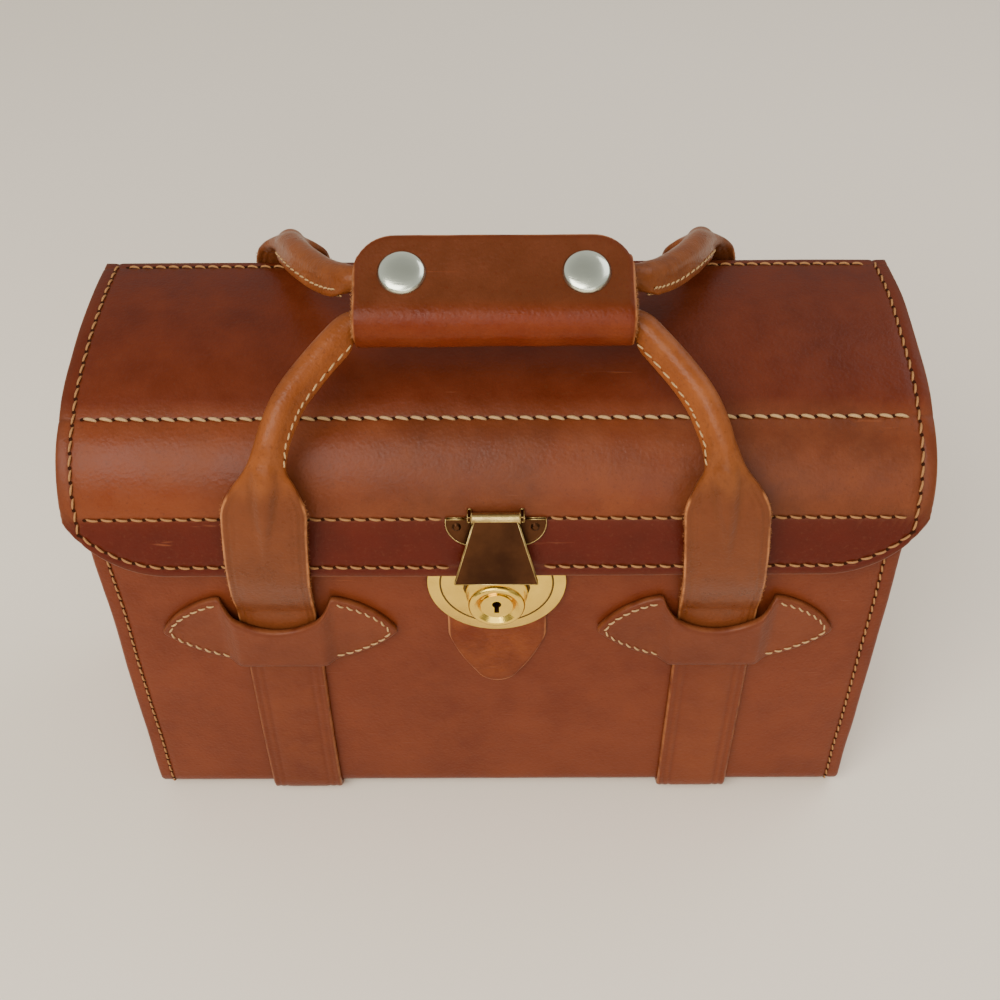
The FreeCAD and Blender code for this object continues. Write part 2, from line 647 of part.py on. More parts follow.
def grip_wrap():
    """Leather under and behind both handles, ending on top in front of the snaps. Open towards the front."""

    def slot(radius):
        front, back = Vec(0, GRIP_FRONT_Y, GRIP_Z), Vec(0, GRIP_BACK_Y, GRIP_Z)
        up, out = Vec(0, 0, radius), Vec(0, radius, 0)
        edges = [
            line(front - up, front + up),
            line(front + up, back + up),
            arc(back + up, back + out, back - up),
            line(back - up, front - up),
        ]
        return swept_along_x(edges, -GRIP_LENGTH / 2, GRIP_LENGTH / 2)

    ring = slot(GRIP_OUT).cut(slot(GRIP_OUT - GRIP_T))
    ring = ring.cut(box(-100, 100, GRIP_FRONT_Y - 1, GRIP_FRONT_Y + 4, GRIP_Z - ROLL_R, GRIP_Z + ROLL_R))
    ring = ring.cut(box(-100, 100, GRIP_FRONT_Y - 1, GRIP_INNER_END, GRIP_Z + ROLL_R, GRIP_TOP + 1))
    posts = [cylinder(1.6, (x, SNAP_Y, GRIP_Z), (0, 0, 1), 20) for x in (-SNAP_X, SNAP_X)]
    return tilted(ring.cut(compound(posts)))


FLAP_LOW = GRIP_TOP + SNAP_GAP


def grip_flap_profile(inset):
    """The flap's face from its hinge line under the front handle, round the front and over the top."""
    low, high = GRIP_Z - GRIP_OUT + inset, FLAP_LOW + GRIP_T - inset
    front_y, y = GRIP_FRONT_Y - GRIP_OUT + inset, GRIP_FRONT_Y
    r_low, r_high = GRIP_OUT - inset, GRIP_EDGE_R - inset
    bend = math.sqrt(0.5)
    start, end = Vec(0, y - 0.3, low), Vec(0, GRIP_FLAP_BACK, high)
    low_front = Vec(0, front_y, low + r_low)
    high_front = Vec(0, front_y, high - r_high)
    turn = Vec(0, front_y + r_high, high)
    low_mid = Vec(0, front_y + r_low * (1 - bend), low + r_low * (1 - bend))
    high_mid = Vec(0, front_y + r_high * (1 - bend), high - r_high * (1 - bend))
    edges = [arc(start, low_mid, low_front), line(low_front, high_front), arc(high_front, high_mid, turn)]
    return edges + [line(turn, end)], start, end


def grip_flap():
    """The free flap over both handles, with rounded back corners."""
    half = GRIP_LENGTH / 2
    outer, outer_start, outer_end = grip_flap_profile(0)
    inner, inner_start, inner_end = grip_flap_profile(GRIP_T)
    edges = outer + inner + [line(outer_start, inner_start), line(outer_end, inner_end)]
    sheet = swept_along_x(edges, -half, half)
    corners = [e for e in sheet.Edges if e.BoundBox.YMin > GRIP_FLAP_BACK - 0.01 and e.BoundBox.ZLength > 1]
    sheet = sheet.makeFillet(GRIP_CORNER_R, corners)
    posts = [cylinder(1.8, (x, SNAP_Y, FLAP_LOW - 1), (0, 0, 1), 10) for x in (-SNAP_X, SNAP_X)]
    return tilted(sheet.cut(compound(posts)))


def at_each_snap(profile):
    return tilted(compound([revolved_about_z(profile, (x, SNAP_Y)) for x in (-SNAP_X, SNAP_X)]))


def snap_caps():
    """Domed caps with the tube that holds them through the flap."""
    top, r = FLAP_LOW + GRIP_T, SNAP_CAP_R
    dome = [(0, top + 2.3), (r * 0.35, top + 2.15), (r * 0.65, top + 1.6), (r * 0.9, top + 0.75), (r, top)]
    tube = [(1.7, top), (1.7, FLAP_LOW + 0.1), (0, FLAP_LOW + 0.1)]
    return at_each_snap(dome + tube)


def snap_sockets():
    low, high = GRIP_TOP + 0.1, FLAP_LOW
    return at_each_snap([(2.4, low), (4.8, low), (4.8, high), (2.0, high), (2.0, high - 0.4), (2.4, high - 0.4)])


def snap_studs():
    low = GRIP_TOP - GRIP_T
    return at_each_snap([(0, low), (1.5, low), (1.5, GRIP_TOP), (2.3, GRIP_TOP), (2.2, GRIP_TOP + 0.9), (0, GRIP_TOP + 0.9)])


def snap_posts():
    high = GRIP_TOP - GRIP_T
    return at_each_snap([(0, high), (3.2, high), (3.2, high - 0.5), (0, high - 0.5)])


# ---- the whole ----------------------------------------------------------------------------------------------
def build():
    os.makedirs(PARTS, exist_ok=True)
    save("body_wrap", body_wrap())
    save("body_lining", body_lining())
    save("hinge_leather", hinge_leather())
    for side, name in ((-1, "left"), (1, "right")):
        save(f"body_end_{name}", body_end(side))
        save(f"belt_{name}", belt(side))
        save(f"keeper_front_{name}", keeper(side))
        save(f"keeper_back_{name}", keeper(side, back=True))
        save(f"lid_end_{name}", lid_end(side))
    save("lid_cover", lid_cover())
    save("lid_back_panel", lid_back_panel())
    save("lid_front_stiffener", lid_front_stiffener())
    save("lid_top_board", lid_top_board())
    save("lid_lining", lid_lining())
    save("hasp_hinge_plate", hasp_hinge_plate())
    save("hasp_rivets", hasp_rivets())
    save("hasp_pin", hasp_pin())
    save("hasp_plate", hasp_plate())
    save("hasp_staple", hasp_staple())
    save("lock_tab", lock_tab())
    save("lock_plate", lock_plate())
    save("lock_boss", lock_boss())
    save("lock_prongs", lock_prongs())
    save("lock_backplate", lock_backplate())
    save("lock_plug", lock_plug())
    for name, path, sections in (("front", FRONT_PATH, FRONT_SECTIONS), ("back", BACK_PATH, BACK_SECTIONS)):
        save(f"{name}_handle_leather", handle_leather(path, sections))
    save("grip_wrap", grip_wrap())
    save("grip_flap", grip_flap())
    save("snap_caps", snap_caps())
    save("snap_sockets", snap_sockets())
    save("snap_studs", snap_studs())
    save("snap_posts", snap_posts())


build()
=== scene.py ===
import bmesh
import bpy
import math
import random
from mathutils import Matrix, Vector, noise


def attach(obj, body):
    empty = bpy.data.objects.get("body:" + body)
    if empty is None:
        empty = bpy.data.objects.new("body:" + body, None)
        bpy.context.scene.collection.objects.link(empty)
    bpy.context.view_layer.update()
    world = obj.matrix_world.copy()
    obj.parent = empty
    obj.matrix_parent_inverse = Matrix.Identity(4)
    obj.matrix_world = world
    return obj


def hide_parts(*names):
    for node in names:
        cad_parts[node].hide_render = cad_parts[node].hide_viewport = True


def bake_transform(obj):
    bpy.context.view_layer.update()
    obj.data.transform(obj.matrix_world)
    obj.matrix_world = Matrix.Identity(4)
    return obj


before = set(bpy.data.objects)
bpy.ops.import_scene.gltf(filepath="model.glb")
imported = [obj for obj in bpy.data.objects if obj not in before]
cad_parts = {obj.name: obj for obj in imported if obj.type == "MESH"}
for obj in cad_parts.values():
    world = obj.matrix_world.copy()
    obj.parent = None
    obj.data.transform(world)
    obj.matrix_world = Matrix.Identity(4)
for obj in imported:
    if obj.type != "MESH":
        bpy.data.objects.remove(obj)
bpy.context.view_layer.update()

MM = 0.001

# ---- sizes in millimetres, the same frame as the solids ----
LEATHER = 3.0
BODY_HALF_W = 140.5
BODY_HALF_D = 47.5
BODY_FLOOR = 3.0
FRONT_RIM = 150.0
BACK_RIM = 146.0
HINGE_Z = 148.0
LID_FRONT_W = 146.0
LID_BACK_W = 143.6
FLAP_BOTTOM = (-54.5, 135.5)
FLAP_TOP = (-49.6, 159.0)
LID_SHOULDER = (-28.5, 185.5)
LID_BACK_EDGE = (48.5, 196.3)
FLAP_CORNER_R = 37.0
FLAP_CORNER_X = 112.0
STRAP_X = 79.0
STRAP_HALF = 14.0
STRAP_TOP = 103.0
KEEPER_Z = 102.0
GRIP_HALF = 44.5
GRIP_TILT = math.radians(26.0)
GRIP_Z = 219.0
GRIP_T = 2.2
GRIP_OUT = 7.4
GRIP_FRONT_Y = -22.0
GRIP_BACK_Y = -5.5
GRIP_INNER_END = -15.7
GRIP_FLAP_BACK = 3.7
SNAP_X = 29.1
SNAP_Y = -9.9
FLAP_HIGH = 230.0
LOCK_Z = 124.0
LOCK_BACK = -BODY_HALF_D - 1.6
LOCK_PLATE_Z = 127.4
LOCK_PLATE_TOP = 139.0
BOSS_OUT = 1.4
HASP_PIN = (-52.285, 161.802)
LUG_R = 1.3
KEEPER_HALF = 43.0
TAB_HALF = 17.8
TAB_T = 1.6
SNAP_R = 7.7
SNAP_DOME = 1.75
ROLL_R = 4.35
BACK_ROLL_R = 4.8
FIN_OUT = 2.5
SIDE_SEAM = 5.2
LOW_SEAM = 4.4
BACK_SEAM = 4.6
BODY_SEAM = 5.4
HASP_GAP = 18.0  # half of the seam's gap behind the hasp
PITCH = 4.9  # from one stitch to the next


# ---- materials ----
class Nodes:
    """A short way to wire up one material."""

    def __init__(self, name):
        self.material = bpy.data.materials.new(name)
        self.material.use_nodes = True
        self.tree = self.material.node_tree
        self.shader = self.tree.nodes["Principled BSDF"]

    def add(self, kind, settings=None, **inputs):
        node = self.tree.nodes.new("ShaderNode" + kind)
        for key, value in (settings or {}).items():
            setattr(node, key, value)
        for key, value in inputs.items():
            self.put(node.inputs[key.replace("_", " ")], value)
        return node

    def put(self, socket, value):
        if isinstance(value, bpy.types.NodeSocket):
            self.tree.links.new(value, socket)
        else:
            socket.default_value = value

    def noise(self, scale, detail=3.0, rough=0.55, vector=None):
        node = self.add("TexNoise", Scale=scale, Detail=detail, Roughness=rough)
        self.put(node.inputs["Vector"], vector or self.coords())
        return node.outputs["Fac"]

    def coords(self, stretch=None):
        place = self.add("TexCoord").outputs["Object"]
        if stretch is None:
            return place
        return self.add("Mapping", Vector=place, Scale=stretch).outputs["Vector"]

    def ramp(self, value, low, high):
        node = self.add("MapRange", {"clamp": True}, Value=value)
        node.inputs["From Min"].default_value = low
        node.inputs["From Max"].default_value = high
        return node.outputs["Result"]

    def math(self, operation, a, b):
        node = self.add("Math", {"operation": operation})
        self.put(node.inputs[0], a)
        self.put(node.inputs[1], b)
        return node.outputs["Value"]

    def mix(self, factor, a, b):
        node = self.add("Mix", {"data_type": "RGBA"})
        self.put(node.inputs[0], factor)
        self.put(node.inputs[6], a if isinstance(a, bpy.types.NodeSocket) else (*a, 1.0))
        self.put(node.inputs[7], b if isinstance(b, bpy.types.NodeSocket) else (*b, 1.0))
        return node.outputs[2]

    def attribute(self, name):
        return self.add("Attribute", {"attribute_name": name}).outputs["Fac"]

    def bump(self, height, distance, strength=1.0, under=None):
        node = self.add("Bump", Height=height, Distance=distance, Strength=strength)
        if under is not None:
            self.put(node.inputs["Normal"], under)
        return node.outputs["Normal"]

    def finish(self, **inputs):
        for key, value in inputs.items():
            self.put(self.shader.inputs[key.replace("_", " ")], value)
        return self.material


def leather(name, base, light, dark, deep_and_shade=None, roughness=0.42, grain=1.0, worn_edge=1.0):
    n = Nodes(name)
    blotch = n.ramp(n.noise(16.0, 4.0, 0.6), 0.36, 0.66)
    mottle = n.ramp(n.noise(75.0, 5.0, 0.65), 0.35, 0.7)
    colour = n.mix(blotch, dark, base)
    colour = n.mix(n.math("MULTIPLY", mottle, 0.42), colour, light)
    if deep_and_shade is not None:
        # deeper colour where the vertex layer asks for it; on the lid's top this is painted shade
        colour = n.mix(n.attribute("deep_and_shade"), colour, n.mix(mottle, [c * 0.8 for c in deep_and_shade], deep_and_shade))
    fleck = n.ramp(n.noise(850.0, 3.0, 0.6), 0.58, 0.70)
    colour = n.mix(n.math("MULTIPLY", fleck, 0.5), colour, dark)
    scratch = n.ramp(n.noise(30.0, 3.0, 0.6, n.coords((1.0, 9.0, 9.0))), 0.67, 0.72)
    scratch = n.math("MULTIPLY", scratch, n.ramp(n.noise(28.0, 1.0), 0.5, 0.62))
    colour = n.mix(n.math("MULTIPLY", scratch, 0.6), colour, light)
    rim = n.attribute("rim")
    shade = n.ramp(rim, 0.15, 0.75)
    colour = n.mix(n.math("MULTIPLY", shade, 0.45), colour, dark)
    worn = n.math("MULTIPLY", n.ramp(rim, 0.70, 0.95), n.ramp(n.noise(160.0, 3.0), 0.3, 0.6))
    colour = n.mix(n.math("MULTIPLY", worn, worn_edge), colour, EDGE)
    # painted shade: darker in the sewn grooves and crease lines, and where the handle's wings curl into the
    # roll
    colour = n.mix(n.math("MULTIPLY", n.attribute("seam"), 0.6), colour, dark)
    rough = n.math("ADD", n.math("MULTIPLY", mottle, 0.16), roughness - 0.10)
    cells = n.add("TexVoronoi", {"feature": "SMOOTH_F1"}, Scale=850.0, Vector=n.coords())
    low = n.bump(n.noise(55.0, 4.0, 0.6), 0.0011, 0.35)
    pores = n.bump(cells.outputs["Distance"], 0.00022 * grain, 0.4, low)
    fine = n.bump(n.noise(1500.0, 2.0), 0.00012 * grain, 0.5, pores)
    marks = n.bump(scratch, 0.0002, 0.5, fine)
    return n.finish(Base_Color=colour, Roughness=rough, Normal=marks, Specular_IOR_Level=0.155)


def metal(name, colour, dull, roughness, patina=0.3, wear=60.0):
    n = Nodes(name)
    cloud = n.ramp(n.noise(wear, 4.0, 0.6), 0.38, 0.68)
    tint = n.mix(n.math("MULTIPLY", cloud, patina), colour, dull)
    hair = n.noise(220.0, 2.0, 0.5, n.coords((1.0, 1.0, 14.0)))
    rough = n.math("ADD", n.math("MULTIPLY", cloud, 0.14), roughness)
    rough = n.math("ADD", n.math("MULTIPLY", hair, 0.08), rough)
    normal = n.bump(hair, 0.00006, 0.35, n.bump(n.noise(35.0, 2.0), 0.0004, 0.2))
    return n.finish(Base_Color=tint, Metallic=1.0, Roughness=rough, Normal=normal)


def plain(name, colour, roughness, scale=900.0, relief=0.0002):
    n = Nodes(name)
    grain = n.noise(scale, 3.0, 0.6)
    shade = n.mix(n.ramp(grain, 0.3, 0.7), [c * 0.72 for c in colour], colour)
    normal = n.bump(grain, relief, 0.6)
    return n.finish(Base_Color=shade, Roughness=roughness, Normal=normal, Specular_IOR_Level=0.1)


EDGE = (0.40, 0.15, 0.05)
# base, light, dark, deep, roughness, grain, worn edge
LEATHERS = {
    "body_leather": ((0.143, 0.0285, 0.0085), (0.185, 0.045, 0.016), (0.105, 0.018, 0.0055),
                     None, 0.42, 1.0, 0.35),
    # the lid's fourth colour darkens the flap, and as painted shade the top
    "lid_leather": ((0.160, 0.0335, 0.0095), (0.210, 0.056, 0.017), (0.100, 0.0255, 0.0095),
                    (0.084, 0.0078, 0.0016), 0.42, 1.0, 0.5),
    "tab_leather": ((0.146, 0.023, 0.003), (0.30, 0.08, 0.018), (0.10, 0.017, 0.004), None, 0.42, 1.0, 1.5),
    "hinge_leather": ((0.14, 0.03, 0.009), (0.18, 0.045, 0.016), (0.09, 0.018, 0.006)),
    "strap_leather": ((0.15, 0.032, 0.0092), (0.2, 0.053, 0.017), (0.108, 0.02, 0.006), None, 0.42, 1.0, 0.7),
    "keeper_leather": ((0.146, 0.0335, 0.0115), (0.185, 0.050, 0.019), (0.10, 0.020, 0.007),
                       None, 0.42, 1.0, 0.25),
    "handle_leather": ((0.235, 0.060, 0.0120), (0.34, 0.106, 0.028), (0.112, 0.030, 0.0075),
                       (0.150, 0.0385, 0.0115), 0.36, 1.3),
    "grip_leather": ((0.140, 0.0170, 0.0020), (0.20, 0.042, 0.009), (0.090, 0.0125, 0.0020),
                     (0.112, 0.0270, 0.0070), 0.4, 1.3, 1.2),
}
# colour, dull colour, roughness, amount of patina, scale of patina
METALS = {
    "bright_brass": ((0.87, 0.60, 0.105), (0.50, 0.31, 0.055), 0.12, 0.45),
    "aged_brass": ((0.080, 0.032, 0.014), (0.03, 0.012, 0.006), 0.27, 0.8),
    "rubbed_brass": ((0.62, 0.46, 0.17), (0.20, 0.12, 0.04), 0.22, 0.7, 300.0),
    "nickel": ((0.72, 0.765, 0.63), (0.46, 0.50, 0.39), 0.11, 0.4),
    "steel": ((0.55, 0.55, 0.55), (0.35, 0.35, 0.35), 0.3),
}
# colour, roughness, scale and depth of the grain
PLAIN = {
    "lining": ((0.16, 0.07, 0.04), 0.95),
    "board": ((0.22, 0.15, 0.09), 0.9),
    "thread": ((0.42, 0.20, 0.075), 0.75, 2600.0, 0.0003),
    "pale_thread": ((0.55, 0.34, 0.155), 0.75, 2600.0, 0.0003),
    "fray": ((0.40, 0.17, 0.065), 0.9, 2600.0),
    # dark brown laid in the lock's grooves as painted shade
    "groove_shade": ((0.10, 0.055, 0.015), 0.6),
    # near black: painted shade in the stitch holes and inside the keyhole
    "hole": ((0.035, 0.010, 0.004), 1.0),
}
MATERIALS = {name: leather(name, *values) for name, values in LEATHERS.items()}
MATERIALS |= {name: metal(name, *values) for name, values in METALS.items()}
MATERIALS |= {name: plain(name, *values) for name, values in PLAIN.items()}


# ---- meshes ----
def linked(name, data):
    obj = bpy.data.objects.new(name, data)
    bpy.context.scene.collection.objects.link(obj)
    return obj


def finish_object(name, bm, look, body, stands_for=()):
    mesh = bpy.data.meshes.new(name)
    bm.to_mesh(mesh)
    bm.free()
    mesh.materials.append(MATERIALS[look])
    for face in mesh.polygons:
        face.use_smooth = True
    obj = linked(name, mesh)
    if body:
        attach(obj, body)
    if stands_for:
        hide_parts(*stands_for)
    return obj


def fade(value):
    t = min(max(value, 0.0), 1.0)
    return t * t * (3 - 2 * t)


def wobble(x, y, z, scale, seed):
    return noise.noise(Vector((x / scale + seed, y / scale, z / scale)))


class Track:
    """A line in the YZ plane, followed by distance. side is 1 when the inside is to its right."""

    def __init__(self, points, side=1):
        self.points = [Vector(p) for p in points]
        self.side = side
        self.reach = [0.0]
        for a, b in zip(self.points, self.points[1:]):
            self.reach.append(self.reach[-1] + (b - a).length)
        self.length = self.reach[-1]
        steps = [(b - a).normalized() for a, b in zip(self.points, self.points[1:])]
        joined = [steps[0]] + [(a + b).normalized() for a, b in zip(steps, steps[1:])] + [steps[-1]]
        self.heading = joined

    def at(self, s, depth=0.0):
        index = 0
        while index < len(self.points) - 2 and s > self.reach[index + 1]:
            index += 1
        span = self.reach[index + 1] - self.reach[index]
        t = (s - self.reach[index]) / span
        point = self.points[index].lerp(self.points[index + 1], t)
        inside = min(max(t, 0.0), 1.0)
        heading = self.heading[index].lerp(self.heading[index + 1], inside).normalized()
        inward = Vector((heading.y, -heading.x)) * self.side
        return point + inward * depth

    def distance_of(self, y, z):
        nearest = min(range(len(self.points)), key=lambda i: (self.points[i] - Vector((y, z))).length)
        return self.reach[nearest]


def arc_points(centre, radius, start, end, count=24):
    """Points round centre from the angle start to end, in degrees from +Y towards +Z."""
    points = []
    for i in range(count + 1):
        angle = math.radians(start + (end - start) * i / count)
        points.append((centre[0] + radius * math.cos(angle), centre[1] + radius * math.sin(angle)))
    return points


def cushion(distance, radius):
    t = min(max(distance / radius, 0.0), 1.0)
    return math.sqrt(1 - (1 - t) ** 2)


def near_lines(radius, grooves):
    """Distances from an edge where a sheet has a line of points, for its rounding and each groove."""
    lines = [0.0, 0.12 * radius, 0.4 * radius, radius]
    for groove in grooves:
        lines += [groove - 1.3, groove - 0.6, groove, groove + 0.6, groove + 1.3]
    return sorted(lines)


def spread(a, b, near_a, near_b, middle):
    room = b - a
    squeeze = min(1.0, room / (1.04 * (near_a[-1] + near_b[-1])))
    first = [a + d * squeeze for d in near_a]
    last = [b - d * squeeze for d in reversed(near_b)]
    between = [first[-1] + (last[0] - first[-1]) * (i + 1) / (middle + 1) for i in range(middle)]
    return first + between + last


def wear_and_shade_layers(bm):
    """What the leather materials read at each point: worn edge, sewn groove that is painted with shade,
    deeper colour that on the lid's top is painted shade.
    """
    return [bm.verts.layers.float.new(name) for name in ("rim", "seam", "deep_and_shade")]


class Sheet:
    """A piece of leather: an outline in flat coordinates (x, s), and where each point of it goes."""

    def __init__(self, x0, x1, low, high, place, thickness, step=2.5, edge=None):
        self.x0, self.x1, self.low, self.high = x0, x1, low, high
        self.place, self.thickness, self.step = place, thickness, step
        self.edge = edge or thickness * 0.42
        self.side_grooves, self.low_grooves, self.high_grooves, self.across = [], [], [], []
        self.groove_depth = 0.4
        self.tone = None

    def mesh(self):
        sides = near_lines(self.edge, self.side_grooves)
        lows = near_lines(self.edge, self.low_grooves)
        highs = near_lines(self.edge, self.high_grooves)
        columns = spread(self.x0, self.x1, sides, sides, max(1, round((self.x1 - self.x0) / self.step)))
        middle_x = (self.x0 + self.x1) / 2
        tall = self.high(middle_x) - self.low(middle_x)
        count = max(1, round(tall / self.step))
        bm = bmesh.new()
        layers = wear_and_shade_layers(bm)
        grid = []
        for x in columns:
            rows = self.with_across(spread(self.low(x), self.high(x), lows, highs, count))
            grid.append([self.pair(bm, layers, x, s, rows[0], rows[-1]) for s in rows])
        for left, right in zip(grid, grid[1:]):
            for a, b, c, d in zip(left, right, right[1:], left[1:]):
                bm.faces.new((a[0], b[0], c[0], d[0]))
                bm.faces.new((a[1], d[1], c[1], b[1]))
        bmesh.ops.remove_doubles(bm, verts=bm.verts, dist=2e-6)
        bmesh.ops.dissolve_degenerate(bm, edges=bm.edges, dist=1e-6)
        bmesh.ops.recalc_face_normals(bm, faces=bm.faces)
        return bm

    def build(self, node, look, body):
        """The finished sheet, in place of the solid called node."""
        return finish_object(f"{node}_leather", self.mesh(), look, body, [node])

    def with_across(self, rows):
        """Moves the nearest rows onto the grooves that cross the sheet."""
        rows = list(rows)
        for line in self.across:
            nearest = min(range(2, len(rows) - 2), key=lambda i: abs(rows[i] - line))
            for shift, offset in ((-2, -1.4), (-1, -0.6), (0, 0.0), (1, 0.6), (2, 1.4)):
                if 1 <= nearest + shift < len(rows) - 1:
                    rows[nearest + shift] = line + offset
        return sorted(rows)

    def groove(self, x, s, low, high):
        gaps = [abs(min(x - self.x0, self.x1 - x) - g) for g in self.side_grooves]
        gaps += [abs(s - low - g) for g in self.low_grooves]
        gaps += [abs(high - s - g) for g in self.high_grooves]
        gaps += [abs(s - g) for g in self.across]
        return math.exp(-((min(gaps) / 0.75) ** 2)) if gaps else 0.0

    def pair(self, bm, layers, x, s, low, high):
        rim, seam, deep_and_shade = layers
        gap = min(x - self.x0, self.x1 - x, s - low, high - s)
        swell = cushion(gap, self.edge) * self.thickness / 2
        cut = self.groove(x, s, low, high)
        middle = self.thickness / 2
        made = []
        for depth in (middle - swell + cut * self.groove_depth * (swell > 0), middle + swell):
            vertex = bm.verts.new(Vector(self.place(x, s, depth)) * MM)
            vertex[rim] = max(0.0, 1.0 - gap / 3.2)
            vertex[seam] = cut
            vertex[deep_and_shade] = self.tone(x, s) if self.tone else 0.0
            made.append(vertex)
        return made


class Threads:
    """Rows of slanted stitches over holes painted dark as shade, gathered into two meshes."""

    def __init__(self):
        self.thread, self.holes = bmesh.new(), bmesh.new()
        self.hole_size = 1.0

    def row(self, spots, place, pitch=PITCH, radius=0.44, slant=0.36):
        """spots: corners of the row's line in sheet coordinates."""
        line = resample([Vector(p) for p in spots], pitch)
        for i, (a, b) in enumerate(zip(line, line[1:])):
            run = b - a
            across = Vector((-run.y, run.x)).normalized()
            lean = slant * (1 + 0.3 * noise.noise(Vector((a.x, a.y, 3.1))))
            self.stitch(a + run * 0.08 + across * lean, b - run * 0.08 - across * lean, place, radius)
            self.hole(a, run.normalized(), across, place)

    def stitch(self, a, b, place, radius, rings=7, sides=6):
        centres, sizes = [], []
        for i in range(rings):
            t = i / (rings - 1)
            hump = math.sin(math.pi * t)
            p = a.lerp(b, t)
            centres.append(Vector(place(p.x, p.y, 0.45 - 0.75 * hump ** 0.6)))
            sizes.append(radius * (0.62 + 0.38 * hump))
        skin_tube(self.thread, centres, sizes, sides)

    # each hole is a shallow dimple in the near-black hole colour: painted shade
    def hole(self, p, u, v, place):
        spots = []
        for i in range(8):
            angle = math.tau * i / 8
            q = p + (u * (0.72 * math.cos(angle)) + v * (0.62 * math.sin(angle))) * self.hole_size
            spots.append(self.holes.verts.new(Vector(place(q.x, q.y, -0.03)) * MM))
        middle = self.holes.verts.new(Vector(place(p.x, p.y, 0.35)) * MM)
        for a, b in zip(spots, spots[1:] + spots[:1]):
            self.holes.faces.new((a, b, middle))

    def finish(self, name, body, look="thread", slot="body_leather"):
        finish_object(name, self.thread, look, body)
        finish_object(name + "_holes", self.holes, "hole", body)


def resample(points, pitch):
    lengths = [(b - a).length for a, b in zip(points, points[1:])]
    count = max(1, round(sum(lengths) / pitch))
    step = sum(lengths) / count
    result, index, used = [points[0]], 0, 0.0
    for i in range(1, count):
        target = i * step
        while used + lengths[index] < target:
            used += lengths[index]
            index += 1
        result.append(points[index].lerp(points[index + 1], (target - used) / lengths[index]))
    return result + [points[-1]]


def join_rings(bm, rings):
    """Faces between neighbouring rings of points, and one over each end."""
    for a, b in zip(rings, rings[1:]):
        for k in range(len(a)):
            n = (k + 1) % len(a)
            bm.faces.new((a[k], a[n], b[n], b[k]))
    bm.faces.new(rings[0][::-1])
    bm.faces.new(rings[-1])


def skin_tube(bm, centres, sizes, sides):
    across = None
    rings = []
    for i, centre in enumerate(centres):
        ahead = (centres[min(i + 1, len(centres) - 1)] - centres[max(i - 1, 0)]).normalized()
        if across is None:
            across = ahead.orthogonal().normalized()
        across = (across - ahead * across.dot(ahead)).normalized()
        up = ahead.cross(across)
        ring = []
        for k in range(sides):
            angle = math.tau * k / sides
            spot = centre + (across * math.cos(angle) + up * math.sin(angle)) * sizes[i]
            ring.append(bm.verts.new(spot * MM))
        rings.append(ring)
    join_rings(bm, rings)


def lathe(name, profile, centre, axis, look, body, segments=72, stands_for=()):
    """profile: the radius and the height along the axis of each point."""
    bm = bmesh.new()
    turn = Vector((0, 0, 1)).rotation_difference(Vector(axis))
    rings = []
    for radius, height in profile:
        ring = []
        for k in range(segments if radius > 0 else 1):
            angle = math.tau * k / segments
            spot = Vector((radius * math.cos(angle), radius * math.sin(angle), height))
            ring.append(bm.verts.new((turn @ spot + Vector(centre)) * MM))
        rings.append(ring)
    for a, b in zip(rings, rings[1:]):
        for k in range(segments):
            corners = [a[k % len(a)], a[(k + 1) % len(a)], b[(k + 1) % len(b)], b[k % len(b)]]
            bm.faces.new(list(dict.fromkeys(corners)))
    bmesh.ops.recalc_face_normals(bm, faces=bm.faces)
    return finish_object(name, bm, look, body, stands_for)


# ---- lid ----
def tangent_arc(start, heading, end, count):
    """Points of the arc that leaves start at heading (degrees) and ends at end, and its last heading."""
    dy, dz = end[0] - start[0], end[1] - start[1]
    turn = 2 * (heading - math.degrees(math.atan2(dz, dy)))
    radius = math.hypot(dy, dz) / (2 * math.sin(math.radians(turn / 2)))
    h = math.radians(heading)
    centre = (start[0] + radius * math.sin(h), start[1] - radius * math.cos(h))
    return arc_points(centre, radius, heading + 90, heading - turn + 90, count), heading - turn


def lid_track():
    lean = math.degrees(math.atan2(FLAP_TOP[0] - FLAP_BOTTOM[0], FLAP_TOP[1] - FLAP_BOTTOM[1]))
    shoulder, heading = tangent_arc(FLAP_TOP, 90 - lean, LID_SHOULDER, 40)
    crown, heading = tangent_arc(LID_SHOULDER, heading, LID_BACK_EDGE, 60)
    return Track([FLAP_BOTTOM] + shoulder + crown[1:])


LID = lid_track()
LID_LOWER_SEAM = LID.distance_of(*FLAP_TOP)
LID_UPPER_SEAM = LID.distance_of(*LID_SHOULDER)


def lid_width(s):
    """The cover narrows from the shoulder to the back edge."""
    t = fade((s - LID_UPPER_SEAM + 15) / (LID.length - LID_UPPER_SEAM + 15))
    return 1.0 + (LID_BACK_W / LID_FRONT_W - 1.0) * t


def flap_edge(x):
    """How far up the track the flap's rounded corner has cut the sheet, at x."""
    over = abs(x) - FLAP_CORNER_X
    if over <= 0:
        return 0.0
    return (FLAP_CORNER_R - math.sqrt(max(FLAP_CORNER_R ** 2 - over ** 2, 0.0))) * 1.02


def lid_place(x, s, depth):
    sag = 0.35 * wobble(x, s, 0, 60.0, 2.0) + 0.5 * math.exp(-((s - LID_UPPER_SEAM) / 5.0) ** 2)
    edge = fade((abs(x) - 120) / 26.0)
    wave = 0.5 * wobble(0, s, x, 22.0, 5.0) * edge
    point = LID.at(s, depth + sag)
    return (x * lid_width(s) + wave * (1 if x > 0 else -1), point.x, point.y)


def lid_tone_and_shade(x, s):
    """The flap and the top are darker than the rounded band between the two seams; on the top this is painted
    shade.
    """
    flap = fade((LID_LOWER_SEAM - s + 1) / 3.0)
    # painted shade: the top made darker than the rounded band, which catches the light
    top = 0.62 * fade((s - LID_UPPER_SEAM) / 5.0)
    return max(flap, top)


